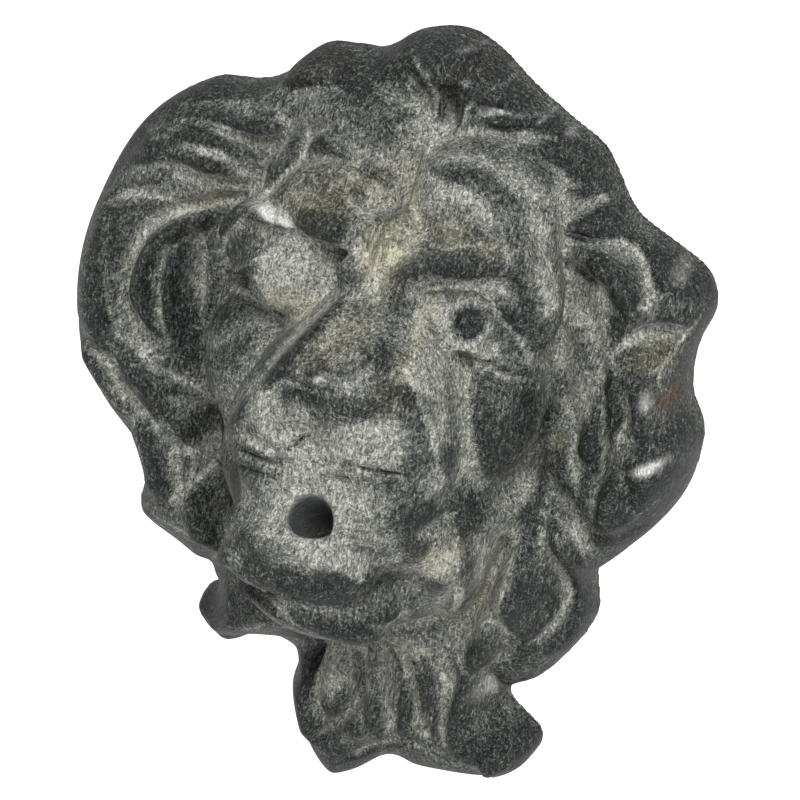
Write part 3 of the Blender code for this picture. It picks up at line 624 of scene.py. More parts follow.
def hollow_out(clay, wall):
    """What is deeper than the wall becomes the hollow, as far as its core draws straight out of the back."""
    solid = clay.field
    reach = int(wall / clay.step)
    span = range(-reach, reach + 1)
    padded = np.pad(solid, reach, mode="edge")
    deep = np.full(solid.shape, -np.inf)
    for i, j, k in ((i, j, k) for i in span for j in span for k in span):
        length = math.sqrt(i * i + j * j + k * k) * clay.step
        if wall - clay.step < length <= wall:
            start = (reach + i, reach + j, reach + k)
            shifted = padded[tuple(slice(s, s + n) for s, n in zip(start, solid.shape))]
            deep = np.maximum(deep, shifted + wall - length)
    deep = np.maximum(soften(deep, BACK_SOFTENING), -spout_boss(clay, wall))
    drawn = np.maximum.accumulate(deep, axis=1)
    clay.field = np.maximum(solid, -drawn)


def fill_pinches(field, film):
    """Two bodies of metal that meet only along an edge of the grid are joined by a film."""
    pinched = True
    while pinched:
        pinched = False
        for axis in range(3):
            flat = np.moveaxis(field, axis, 0)
            a, b, c, d = flat[:, :-1, :-1], flat[:, 1:, :-1], flat[:, :-1, 1:], flat[:, 1:, 1:]
            for one, two, gap, other in ((a, d, b, c), (b, c, a, d)):
                pinch = (one < 0) & (two < 0) & (gap >= 0) & (other >= 0)
                gap[pinch] = -film
                pinched = pinched or bool(pinch.any())


def net_surface(clay):
    """A closed net over the field's surface, with one corner in each cell that the surface crosses."""
    field = clay.field.copy()
    field[:, 0, :] = np.maximum(field[:, 0, :], clay.step)
    fill_pinches(field, 0.1 * clay.step)
    inside = field < 0
    cells = np.array(field.shape) - 1
    count = np.zeros(cells, int)
    for corner in np.ndindex(2, 2, 2):
        count += inside[tuple(slice(c, c + n) for c, n in zip(corner, cells))]
    where = np.argwhere((count > 0) & (count < 8))
    number = np.full(cells, -1)
    number[tuple(where.T)] = np.arange(len(where))
    total = np.zeros((len(where), 3))
    hits = np.zeros((len(where), 1))
    quads = []
    for axis in range(3):
        one, two = (a for a in range(3) if a != axis)
        for j, k in np.ndindex(2, 2):
            low = where.copy()
            low[:, one] += j
            low[:, two] += k
            high = low.copy()
            high[:, axis] += 1
            a, b = field[tuple(low.T)], field[tuple(high.T)]
            hit = (a < 0) != (b < 0)
            point = low[hit].astype(float)
            point[:, axis] += a[hit] / (a[hit] - b[hit])
            total[hit] += point
            hits[hit] += 1
        span = [slice(1, n) for n in cells]
        span[axis] = slice(0, cells[axis])
        here = inside[tuple(span)]
        span[axis] = slice(1, cells[axis] + 1)
        crossing = np.argwhere(here != inside[tuple(span)])
        inward = here[tuple(crossing.T)] != (axis == 1)
        crossing += [0 if a == axis else 1 for a in range(3)]
        ring = []
        for j, k in ((-1, -1), (0, -1), (0, 0), (-1, 0)):
            cell = crossing.copy()
            cell[:, one] += j
            cell[:, two] += k
            ring.append(number[tuple(cell.T)])
        ring = np.stack(ring, 1)
        ring[inward] = ring[inward][:, ::-1]
        quads.append(ring)
    low_corner = np.array([axis[0] for axis in clay.axes])
    return low_corner + total / hits * clay.step, np.vstack(quads)


def resample(field, old_axes, new_axes):
    """A coarse block of distances, read off at the places of a finer one."""
    for axis, (old, new) in enumerate(zip(old_axes, new_axes)):
        place = np.clip((new - old[0]) / (old[1] - old[0]), 0, len(old) - 1.001)
        low = place.astype(int)
        shape = [-1 if a == axis else 1 for a in range(3)]
        share = (place - low).reshape(shape)
        field = np.take(field, low, axis) * (1 - share) + np.take(field, low + 1, axis) * share
    return field


def read_grid(field, start, step, points):
    """The values of a grid, from its first place and its step, at points that lie between its places."""
    place = (points - start) / step
    low = np.clip(place.astype(int), 0, np.array(field.shape) - 2)
    share = place - low
    total = np.zeros(len(points))
    for corner in np.ndindex((2,) * field.ndim):
        weight = np.prod(np.where(corner, share, 1 - share), axis=1)
        total += weight * field[tuple((low + corner).T)]
    return total


def spread(field, reach):
    """Each place takes the mean of the block round it, reach places each way."""
    for axis in range(3):
        pad = [(reach + 1, reach) if a == axis else (0, 0) for a in range(3)]
        total = np.cumsum(np.pad(field, pad, mode="edge"), axis=axis, dtype=float)
        total = np.moveaxis(total, axis, 0)
        field = np.moveaxis((total[2 * reach + 1:] - total[:-2 * reach - 1]) / (2 * reach + 1), 0, axis)
    return field


def to_metres(points):
    """Places of the form, as x, depth and z in units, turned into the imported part's own metres."""
    middle = np.array([0.0, 0.0, WALL / 2 - CROWN[1] * UNIT])
    return np.asarray(points, float) * UNIT * (1, -1, 1) + middle


def to_units(points):
    """The way back, from metres to x, depth and z in units."""
    return (points - to_metres((0, 0, 0))) / UNIT * (1, -1, 1)


def bore_mouth(clay):
    """The round hole for the water, from outside the mouth into the hollow."""
    length = BOSS_LENGTH + BORE_THROUGH
    mouth = np.array(SPOUT_MOUTH)
    part, x, depth, z = clay.block(mouth - length - ROOM, mouth + length + ROOM)
    along, off = from_spout(x, depth, z)
    bore = np.maximum(off - SPOUT_BORE / 2 / UNIT, np.maximum(along - BORE_PAST, -length - along))
    clay.field[part] = np.maximum(clay.field[part], -bore)


# The shade_ marks hold the patina's own pale and dark, and painted shading as well. Dark marks paint shade
# under the brows, nose and lip, in creases and in the valleys beside the muzzle. Pale marks paint light where
# the form's own shadow falls.
def shade_beard(mark):
    mark(-5, -111, 11, 4, -87, 22)
    mark(24, -116, 18, 3, -81, -16)
    mark(27, -87, 13, 6, 17, 14)
    mark(69, -128, 14, 6, 6, -28)
    mark(-6, -155, 12, 5, 17, -16)
    mark(-15, -110, 12, 2, 81, -80)
    mark(51, -75, 11, 4, 86, -20)
    mark(-7, -110, 15, 9, -84, 20)
    mark(18, -103, 13, 10, 25, 20)
    mark(58, -119, 14, 13, 57, -14)
    mark(13, -103, 24, 14, 15, 20)
    mark(-3, -151, 9, 6, -55, -40)
    mark(60, -132, 11, 4, 23, -35)
    mark(-24, -100, 6, 5, -10, -45)
    mark(-1, -105, 10, 6, -85, 12)


def shade_cheeks(mark):
    mark(54, 25, 20, 13, -85, -14)
    mark(-62, 38, 15, 13, 57, -20)
    mark(-58, 12, 10, 9, 57, 18)
    mark(62, 29, 20, 2, -81, -30)
    mark(55, 92, 23, 5, -82, 16)
    mark(-82, 20, 29, 10, 62, -24)
    mark(41, 14, 10, 6, -77, 70)
    mark(-62, 41, 10, 7, 23, -25)
    mark(16, 72, 8, 5, -85, 20)
    mark(30, 46, 23, 5, -75, -15)


def shade_crown(mark):
    mark(-23, 143, 8, 3, 6, -36)
    mark(8, 149, 12, 3, 3, -40)
    mark(6, 135, 10, 5, -83, -30)
    mark(28, 141, 15, 3, 3, -26)
    mark(26, 133, 10, 3, 11, -30)
    mark(0, 126, 10, 9, 38, 16)
    mark(47, 118, 6, 5, 82, 18)
    mark(-36, 138, 20, 4, 20, -20)
    mark(35, 153, 15, 7, -21, -12)
    mark(-32, 135, 20, 5, 10, -20)
    mark(51, 121, 10, 8, -18, -55)
    mark(47, 117, 13, 4, -32, 60)
    mark(-92, 109, 8, 6, 24, -25)


def shade_eyes(mark):
    mark(29, 67, 14, 13, 44, 26)
    mark(48, 62, 7, 5, -53, -20)
    mark(-34, 68, 18, 14, 2, 28)
    mark(11, 75, 8, 5, -85, -20)
    mark(38, 58, 15, 4, 10, 20)
    mark(23, 69, 9, 5, -83, 12)
    mark(32, 54, 11, 4, -3, 25)
    mark(52, 57, 8, 4, 0, -26)
    mark(43, 78, 6, 3, -30, 26)
    mark(41, 69, 5, 4, 67, -20)
    mark(55, 79, 7, 6, 65, -25)
    mark(-33, 53, 7, 6, 24, 30)
    mark(27, 81, 15, 3, 15, 20)
    mark(46, 93, 5, 3, -84, 30)
    mark(36, 58, 9, 3, 8, 30)
    mark(22, 79, 8, 5, 21, 50)
    mark(-37, 55, 9, 6, 11, 80)
    mark(35, 68, 6, 6, 42, -110)
    mark(30, 55, 11, 5, -2, 55)


def shade_forehead(mark):
    mark(-3, 118, 11, 9, 89, 16)
    mark(-21, 92, 12, 8, 9, -25)
    mark(-58, 70, 10, 9, 33, -25)
    mark(50, 77, 15, 9, -77, -26)
    mark(-10, 100, 7, 5, -86, 20)
    mark(25, 117, 17, 6, 1, 6)
    mark(-1, 88, 14, 12, 80, 30)
    mark(-20, 109, 10, 5, 7, 16)
    mark(49, 100, 16, 3, -78, 30)
    mark(-29, 105, 16, 10, 6, -30)
    mark(5, 110, 12, 6, 50, 24)
    mark(-21, 80, 8, 5, -88, 45)
    mark(-50, 87, 6, 3, 0, 25)
    mark(28, 104, 11, 4, -18, -20)
    mark(-16, 89, 10, 4, -82, 30)
    mark(27, 85, 14, 4, 8, -20)
    mark(46, 108, 12, 3, -87, -20)
    mark(-17, 101, 10, 4, 85, -22)
    mark(19, 96, 19, 8, 4, -16)
    mark(43, 104, 9, 4, -72, 28)
    mark(-21, 115, 11, 3, -12, 26)


def shade_mane_left(mark):
    mark(-117, 80, 9, 6, 74, 16)
    mark(-114, 91, 6, 5, 30, -25)
    mark(-81, 93, 9, 4, 11, -35)
    mark(-104, 113, 15, 3, 23, -22)
    mark(-101, 43, 17, 4, -82, -28)
    mark(-88, 26, 21, 3, -77, -32)
    mark(-120, 30, 34, 6, -81, -16)
    mark(-111, -5, 12, 5, -62, 16)
    mark(-77, -32, 11, 6, -84, 22)
    mark(-75, -15, 6, 6, 57, -40)
    mark(-87, -39, 22, 5, -82, -14)
    mark(-53, -93, 11, 8, 11, -12)
    mark(-64, 87, 12, 5, 16, 22)
    mark(-76, 92, 10, 6, -3, 20)
    mark(-55, 107, 12, 4, 6, 22)
    mark(-124, 88, 12, 8, 68, -14)
    mark(-65, -103, 11, 6, -84, -14)
    mark(-38, 129, 14, 5, 16, 14)
    mark(-85, 85, 21, 7, 36, 30)
    mark(-70, 110, 12, 3, -6, 22)
    mark(-42, 121, 7, 4, 9, 22)


def shade_mane_right(mark):
    mark(60, 82, 9, 8, 29, 24)
    mark(72, 105, 14, 4, 11, -24)
    mark(67, 90, 8, 7, -55, -24)
    mark(84, 72, 12, 3, -82, -30)
    mark(72, 63, 10, 5, -84, -20)
    mark(63, 34, 12, 5, -82, -22)
    mark(76, 39, 11, 6, -84, 16)
    mark(83, 20, 11, 4, -87, -30)
    mark(90, 37, 14, 4, -78, -32)
    mark(106, 9, 17, 6, 24, -34)
    mark(100, 82, 16, 9, -84, -10)
    mark(70, -47, 20, 9, -83, -28)
    mark(87, -54, 15, 4, -82, -14)
    mark(51, -54, 15, 6, 88, 26)
    mark(73, -8, 12, 5, -82, 12)
    mark(71, 79, 17, 5, -74, 24)
    mark(46, 126, 13, 10, -67, -20)
    mark(113, 9, 21, 16, 89, -12)
    mark(62, -48, 13, 4, -90, 20)
    mark(73, -70, 18, 10, 37, -12)
    mark(69, 25, 16, 8, 17, -10)
    mark(51, -53, 26, 10, 72, 70)
    mark(69, 74, 18, 9, -54, 55)
    mark(102, 69, 18, 10, -78, 22)
    mark(62, -10, 17, 11, -4, -24)
    mark(108, 3, 28, 9, 62, -18)
    mark(76, 34, 13, 5, -66, 20)
    mark(90, 6, 9, 5, 64, -25)
    mark(80, -20, 7, 4, -75, 28)
    mark(70, 16, 7, 5, 32, -25)
    mark(58, -41, 17, 6, 79, 20)
    mark(58, -9, 6, 5, 84, 25)
    mark(60, 78, 10, 2, -77, -25)
    mark(54, -37, 10, 6, -84, 25)
    mark(57, -14, 8, 4, -73, 25)
    mark(66, 79, 6, 5, 84, 25)
    mark(109, 28, 11, 4, 35, -15)


def shade_mouth(mark):
    mark(-3, -12, 19, 4, 10, 20)
    mark(-22, -23, 6, 5, 82, -22)
    mark(-1, -27, 19, 5, 7, -40)
    mark(17, -46, 22, 7, 16, -20)
    mark(42, -17, 12, 11, 70, 10)
    mark(-40, -15, 8, 5, -85, -60)
    mark(-65, -43, 26, 4, -84, -35)
    mark(38, 1, 11, 5, 49, -30)
    mark(7, -4, 15, 9, 19, 12)
    mark(15, -15, 6, 3, -23, -40)
    mark(43, -10, 14, 8, 49, -28)
    mark(-57, -46, 11, 5, -88, -40)
    mark(-55, -85, 23, 6, 69, -20)
    mark(-4, 0, 9, 2, 16, 30)
    mark(11, -16, 15, 4, -18, 40)
    mark(16, -15, 7, 5, -14, -25)
    mark(25, -11, 5, 4, 28, 22)
    mark(-21, -29, 7, 4, 48, -25)
    mark(9, -34, 20, 6, 4, -75)
    mark(1, -17, 15, 3, 3, 20)
    mark(-14, -27, 8, 4, -83, -20)


def shade_nose(mark):
    mark(-12, 41, 10, 4, 6, -30)
    mark(-18, 30, 10, 9, 57, 22)
    mark(17, 29, 15, 8, 17, 18)
    mark(-7, 3, 17, 5, 16, 14)
    mark(32, 6, 12, 10, 31, -16)
    mark(3, 14, 27, 14, 12, 10)
    mark(8, 7, 19, 8, 16, 16)
    mark(-25, 31, 9, 8, 28, 12)
    mark(18, 53, 24, 16, -50, -10)
    mark(15, 43, 13, 4, 23, -20)
    mark(-5, 16, 18, 6, 23, 22)
    mark(9, -5, 24, 16, 13, 25)
    mark(30, 32, 11, 5, -83, -30)
    mark(3, 64, 11, 5, 17, 16)
    mark(18, 46, 11, 4, 16, 16)
    mark(38, 20, 8, 4, -83, -35)
    mark(-8, 53, 5, 4, 25, -25)
    mark(17, 65, 21, 7, -63, -38)
    mark(2, 53, 7, 4, 19, -25)
    mark(25, 56, 9, 4, -72, -30)


def lay_lime(mark):
    mark(26, -91, 9, 4, 17, 30)
    mark(-33, 58, 11, 7, -2, 60)
    mark(22, 62, 16, 3, -82, 35)
    mark(1, 89, 13, 10, 90, 80)
    mark(1, 105, 9, 4, -88, 30)
    mark(21, 98, 8, 5, 3, 40)
    mark(-86, 77, 14, 4, 30, 35)
    mark(69, 16, 5, 4, 37, 50)
    mark(51, -54, 13, 5, 88, 25)
    mark(43, -21, 10, 8, 79, 30)
    mark(-13, 50, 3, 2, 20, 50)


def lay_olive(mark):
    mark(12, 151, 8, 2, 6, 40)
    mark(-48, 139, 10, 5, 27, 40)
    mark(-27, 101, 22, 8, 24, 50)
    mark(36, 96, 11, 3, -5, 40)
    mark(99, 60, 9, 6, 19, 50)
    mark(-4, 60, 12, 8, 38, 40)
    mark(20, 49, 9, 5, -73, 35)


def lay_rust(mark):
    mark(110, 44, 6, 5, 31, 80)


def lay_white(mark):
    mark(58, -104, 5, 5, 83, 35)
    mark(49, 132, 2, 2, 89, 60)
    mark(40, 137, 4, 1, 48, 40)
    mark(7, 156, 3, 1, 21, 40)
    mark(-49, 89, 5, 2, -16, 45)
    mark(-40, 88, 3, 2, -21, 40)
    mark(101, 44, 4, 2, -84, 50)
    mark(107, 19, 6, 2, 35, 100)
    mark(101, 91, 4, 3, -64, 40)
    mark(-5, 49, 3, 1, 18, 60)


def draw_beard_lines(ridge, groove):
    ridge((15, -96), (20, -122), 2, 1.6, 2.6)
    ridge((22, -98), (31, -129), 5, 1.6, 2.6)
    ridge((39, -114), (39, -132), 0, 1.1, 2.6)
    ridge((42, -102), (51, -129), -3, 1.1, 2.4)
    ridge((-1, -154), (30, -132), -2, 0.9, 3)
    ridge((35, -136), (57, -142), -2, 0.9, 3)
    groove((-11, -98), (-18, -122), 0, 0.6, 10)
    groove((-1, -97), (4, -106), 0, 0.4, 6)
    ridge((61, -114), (78, -128), -1, 1.4, 1.4)


def draw_brow_lines(ridge, _):
    ridge((1, 113), (46, 111), 11, 1, 2.2)
    ridge((6, 100), (40, 104), 9, 1.1, 3)
    ridge((11, 94), (42, 93), 2, 1, 2.5, swing=-2)
    ridge((-80, 53), (-55, 89), 1, 1.4, 4.5)
    ridge((-55, 89), (-36, 87), 2, 1.9, 8)
    ridge((-21, 105), (-17, 99), -1, 0.8, 5)
    ridge((-41, 105), (-15, 111), 4, 1, 2)


def draw_crown_lines(ridge, _):
    ridge((-13, 153), (0, 130), 6, 1.2, 6)
    ridge((0, 146), (12, 143), 2, 1, 3)
    ridge((16, 138), (43, 141), -4, 1.2, 4, swing=1)
    ridge((15, 142), (23, 147), -1, 1.2, 3)
    ridge((14, 142), (11, 124), 0, 1.7, 5)
    ridge((27, 125), (60, 126), 4, 1.4, 3)
    ridge((39, 128), (59, 111), 0, 0.9, 2.2, swing=-1)
    ridge((-58, 126), (-28, 133), 3, 1, 3)
    ridge((-27, 139), (-14, 136), 0, 1, 3)
    ridge((61, 119), (67, 111), 0, 1, 3)


def draw_eye_lines(ridge, groove):
    ridge((18, 73), (37, 81), 2, 1.2, 4.5)
    ridge((37, 81), (58, 50), 2, 1.4, 5.1)
    ridge((40, 70), (39, 62), 3, 1.2, 4.5)
    ridge((26, 56), (54, 51), 4, 1.7, 4.5)
    ridge((54, 87), (61, 69), 2, 0.9, 4.5)
    ridge((-77, 49), (-44, 77), -1, 1, 4)
    ridge((-78, 40), (-41, 47), 6, 1.7, 3.5)
    ridge((-48, 40), (-41, 44), 3, 0.8, 4)
    groove((13, 63), (8, 55), 0, 0.5, 7)
    groove((19, 60), (21, 53), 0, 0.4, 4)


def draw_left_lines(ridge, _):
    ridge((-112, 108), (-46, 120), 3, 1.2, 2.4)
    ridge((-102, 106), (-51, 113), -3, 1.6, 2.4, swing=3)
    ridge((-92, 100), (-71, 93), 1, 1.4, 2.4)
    ridge((-123, 70), (-96, 83), 1, 1.1, 2.8)
    ridge((-87, 77), (-111, 30), -10, 1.5, 5.5)
    ridge((-108, 35), (-71, -17), -5, 2, 2.6, swing=-5)
    ridge((-85, -24), (-70, -49), 3, 0.8, 4, swing=3)
    ridge((-85, -24), (-76, -41), -4, 0.8, 4)
    ridge((-126, 6), (-95, -38), 4, 0.9, 3, swing=-4)
    ridge((-111, -62), (-29, -34), -21, 0.9, 3.4, swing=7)
    ridge((-71, -105), (-32, -88), -4, 0.9, 3.4, swing=2)


def draw_muzzle_lines(ridge, groove):
    ridge((15, 73), (43, 2), 5, 1.1, 3)
    ridge((-36, 17), (-14, 15), -1, 1.1, 5)
    groove((-38, 12), (-15, 12), -2, 0.5, 7)
    groove((-50, -13), (-17, 5), 6, 0.5, 6)
    groove((10, 20), (32, 19), -2, 0.8, 6)
    groove((4, 11), (12, 13), 0, 0.7, 6)
    groove((-14, 18), (-7, 25), 0, 0.4, 9)
    ridge((-30, -21), (11, -55), -7, 2.1, 2.4, swing=1)
    ridge((-21, -14), (21, -28), 12, 2.1, 4)
    ridge((-18, -33), (16, -23), 0, 0.8, 2)


def draw_right_lines(ridge, _):
    ridge((60, 98), (96, 73), 11, 1.3, 5)
    ridge((95, 69), (83, 50), -3, 1.5, 3)
    ridge((55, 103), (72, 108), 5, 1.2, 3)
    ridge((94, 47), (91, 17), 2, 1.3, 3.6)
    ridge((76, 20), (81, 4), -2, 1.1, 3)
    ridge((84, 48), (89, 18), -1, 0.9, 2)
    ridge((108, 87), (111, 42), -3, 0.8, 3.6, swing=5)
    ridge((117, 28), (104, -9), 4, 0.9, 4, swing=1)
    ridge((118, 37), (110, -9), 6, 0.8, 2.5)
    ridge((75, -33), (73, -74), 9, 1.9, 4.5)
    ridge((91, -66), (69, -99), 7, 0.9, 3.4)
    ridge((72, -11), (91, -35), 5, 1.4, 2)


def painted_bore_shade(points):
    """How far into the bore each point lies, up to one: the share of painted shade there."""
    along, off = from_spout(*points.T)
    rim = SPOUT_BORE / 2 / UNIT
    inside = 1 - smooth_step(off, rim + BORE_SHADE_EDGE[0], rim + BORE_SHADE_EDGE[1])
    behind = 1 - smooth_step(along, -BORE_SHADE_START, BORE_SHADE_START)
    return inside * behind * smooth_step(along, -BOSS_LENGTH, -BOSS_LENGTH / 2)


def draw_lines():
    """The thin crests and cracks along the locks and creases, drawn on the front view."""
    x = np.arange(SPACE_LOW[0] - ROOM, SPACE_HIGH[0] + ROOM, LINE_STEP)
    z = np.arange(SPACE_LOW[2] - ROOM, SPACE_HIGH[2] + ROOM, LINE_STEP)
    lines = Relief(x, z)
    for draw in (draw_beard_lines, draw_brow_lines, draw_crown_lines, draw_eye_lines, draw_left_lines,
                 draw_muzzle_lines, draw_right_lines):
        draw(lines.ridge, lines.groove)
    return lines


def read_lines(lines, points):
    """The drawing's height at points of the front view."""
    return read_grid(lines.height, (lines.x[0, 0], lines.z[0, 0]), LINE_STEP, points[:, [0, 2]])


def read_vertices(mask, kind):
    values = np.zeros(3 * len(mask.data.vertices))
    mask.data.vertices.foreach_get(kind, values)
    return values.reshape(-1, 3)


def lay_tint(points, facing, *layers):
    """The share of one tint at each point, from the marks of its layers."""
    share = np.zeros(len(points))

    def mark(x, z, length, width, turn, amount):
        """A soft oval on the front view, turned by degrees. Its amount is in percent."""
        angle = math.radians(turn)
        x, z = points[:, 0] - x, points[:, 2] - z
        u = (x * math.cos(angle) + z * math.sin(angle)) / length
        w = (z * math.cos(angle) - x * math.sin(angle)) / width
        share[:] += amount / 100 * facing * np.exp(-(u * u + w * w) ** MARK_FADE)

    for lay in layers:
        lay(mark)
    return share


def lay_patina_and_painted_shading(points, facing, lines):
    """How much paler each point is than bare lead: the patina's marks, among them painted shade and painted
    light, the drawn lines, with painted shade in their cracks, and the painted shade of the mane's rim.
    """
    marks = lay_tint(points, facing, shade_beard, shade_cheeks, shade_crown, shade_eyes, shade_forehead,
                     shade_mane_left, shade_mane_right, shade_mouth, shade_nose)
    inset = -outline_distance(points[:, 0], points[:, 2])
    rim = RIM_SHADE * (1 - smooth_step(inset, RIM_NEAR, RIM_FAR))
    return (marks + LINE_TONE * read_lines(lines, points)) * facing + rim


def add_tones(mask, clay, near, lines):
    """Each point's patina tone with its painted shading, its other tints, how far it is in the bore, where
    shade is painted, and how hollow the form is there.
    """
    points = to_units(read_vertices(mask, "co"))
    facing = smooth_step(-read_vertices(mask, "normal")[:, 1], FACING_START, FACING_FULL)
    add_values(mask, "patina_and_painted_shading", lay_patina_and_painted_shading(points, facing, lines))
    for name, lay in (("lime", lay_lime), ("olive", lay_olive), ("rust", lay_rust), ("white", lay_white)):
        add_values(mask, name, lay_tint(points, facing, lay))
    add_values(mask, "bore", painted_bore_shade(points))
    low_corner = [axis[0] for axis in clay.axes]
    for name, (reach, rounds) in HOLLOWS.items():
        mean = near
        for _ in range(rounds):
            mean = spread(mean, round(reach / clay.step))
        add_values(mask, name, read_grid(mean, low_corner, clay.step, points))


def model_details(clay):
    """The smaller swellings of the face, a few units high."""
    clay.roll([(13, 84, 76), (21, 93, 62), (28, 97, 46), (32, 97, 32)], [5, 8, 8, 7], 6)
    clay.ball((-20, 109, 29), (11, 9, 9), 3, turn=-25)
    clay.ball((17, 110, 27), (13, 8, 8), 3, turn=20)
    clay.ball((4, 108, 51), (13, 9, 8), 3)
    clay.ball((-35, 66, 68), (15, 11, 11), 4, turn=10)
    clay.ball((33, 66, 67), (11, 9, 9), 3)
    clay.ball((-62, 50, 38), (16, 14, 15), 4, turn=30)
    clay.ball((40, 84, -19), (9, 9, 12), 4)
    clay.ball((-27, 64, 101), (16, 10, 8), 4)
    clay.ball((25, 58, 106), (15, 10, 9), 4)
    clay.ball((6, 112, -36), (20, 8, 6), 4)


def press_lines(clay, lines):
    """Crests stand out from the form and cracks are cut into it."""
    x, _, z = clay.axes
    places = np.stack(np.meshgrid(x, 0, z, indexing="ij"), -1).reshape(-1, 3)
    clay.field -= LINE_RISE * read_lines(lines, places).reshape(len(x), 1, len(z))


def model_back():
    """The form with its hollow, at the coarser step."""
    back = Clay(HOLLOW_STEP)
    raise_mane(back)
    shape_face(back)
    hollow_out(back, WALL / UNIT)
    return back


def model_mask():
    """The casting's surface, with its tones at each point."""
    lines = draw_lines()
    clay = Clay(FORM_STEP)
    raise_mane(clay)
    shape_face(clay)
    model_details(clay)
    press_lines(clay, lines)
    near = np.clip(clay.field, -NEAR_FORM, NEAR_FORM)
    back = model_back()
    inner = resample(back.field, back.axes, clay.axes)
    clay.field = np.where(inner > clay.field + INNER_LEAD, inner, clay.field)
    bore_mouth(clay)
    clay.field = np.maximum(clay.field, -clay.axes[1][None, :, None])
    points, faces = net_surface(clay)
    mask = add_mesh("lion_mask_cast", to_metres(points), faces)
    thin = mask.modifiers.new("thin", "DECIMATE")
    thin.ratio = TRIANGLES / (2 * len(faces))
    thin.use_collapse_triangulate = True
    keep_modifiers(mask)
    add_tones(mask, clay, near, lines)
    return mask


def add_mesh(name, points, faces):
    mesh = bpy.data.meshes.new(name)
    mesh.vertices.add(len(points))
    mesh.vertices.foreach_set("co", points.ravel())
    mesh.loops.add(faces.size)
    mesh.loops.foreach_set("vertex_index", faces.ravel())
    mesh.polygons.add(len(faces))
    mesh.polygons.foreach_set("loop_start", np.arange(0, faces.size, 4))
    mesh.update(calc_edges=True)
    mesh.shade_smooth()
    item = bpy.data.objects.new(name, mesh)
    bpy.context.collection.objects.link(item)
    return item


def keep_modifiers(item):
    """The mesh takes its modifiers' result."""
    shown = item.evaluated_get(bpy.context.evaluated_depsgraph_get())
    mesh = bpy.data.meshes.new_from_object(shown)
    item.modifiers.clear()
    item.data = mesh


def add_values(item, name, values):
    item.data.attributes.new(name, "FLOAT", "POINT").data.foreach_set("value", values)


class Nodes:
    """A material's node tree, with short ways to add and join its nodes."""

    def __init__(self, name):
        self.material = bpy.data.materials.new(name)
        self.material.use_nodes = True
        self.tree = self.material.node_tree
        self.shader = self.tree.nodes["Principled BSDF"]

    def add(self, kind, *values, **settings):
        """A new node with values, or other nodes' results, in its first sockets."""
        node = self.tree.nodes.new("ShaderNode" + kind)
        for name, setting in settings.items():
            setattr(node, name, setting)
        for value, socket in zip(values, node.inputs):
            self.put(value, socket)
        return node

    def put(self, value, socket):
        if isinstance(value, (int, float, tuple)):
            socket.default_value = value
        else:
            self.tree.links.new(value, socket)

    def fill(self, node, **values):
        """Puts values in a node's sockets by their names, with _ for a space."""
        for name, value in values.items():
            self.put(value, node.inputs[name.replace("_", " ")])

    def math(self, operation, a, b=0.0, clamp=False):
        return self.add("Math", a, b, operation=operation, use_clamp=clamp).outputs[0]

    def weigh(self, start, *parts):
        """A starting value, with each part added by its weight."""
        for part, weight in parts:
            start = self.math("ADD", start, self.math("MULTIPLY", part, weight))
        return start

    def value(self, name):
        return self.add("Attribute", attribute_name=name).outputs["Fac"]

    def noise(self, scale, detail, roughness, streak=None, distortion=0.0):
        """Noise about zero, or streaks at an angle to the upright in radians."""
        place = self.add("TexCoord").outputs["Object"]
        if streak is not None:
            mapping = self.add("Mapping", place)
            self.fill(mapping, Rotation=(0, streak, 0), Scale=STREAK_STRETCH)
            place = mapping.outputs[0]
        node = self.add("TexNoise", place)
        self.fill(node, Scale=scale, Detail=detail, Roughness=roughness, Distortion=distortion)
        return self.math("SUBTRACT", node.outputs["Fac"], 0.5)

    def scribble(self, scale, width):
        """Thin curly lines, where noise about zero changes its sign."""
        near = self.math("ABSOLUTE", self.noise(scale, 1.0, 0.5, distortion=1.5))
        return self.math("SUBTRACT", 1.0, self.math("DIVIDE", near, width), clamp=True)

    def ramp(self, value, step, colors):
        """The colours at equal steps of the value, from zero up."""
        node = self.add("ValToRGB", value)
        spots = node.color_ramp.elements
        while len(spots) < len(colors):
            spots.new(0.5)
        for i, (spot, color) in enumerate(zip(spots, colors)):
            spot.position = i * step
            spot.color = (*color, 1)
        return node.outputs[0]

    def mix(self, share, a, b):
        node = self.add("Mix", share, data_type="RGBA")
        self.put(a, node.inputs[6])
        self.put(b, node.inputs[7])
        return node.outputs[2]


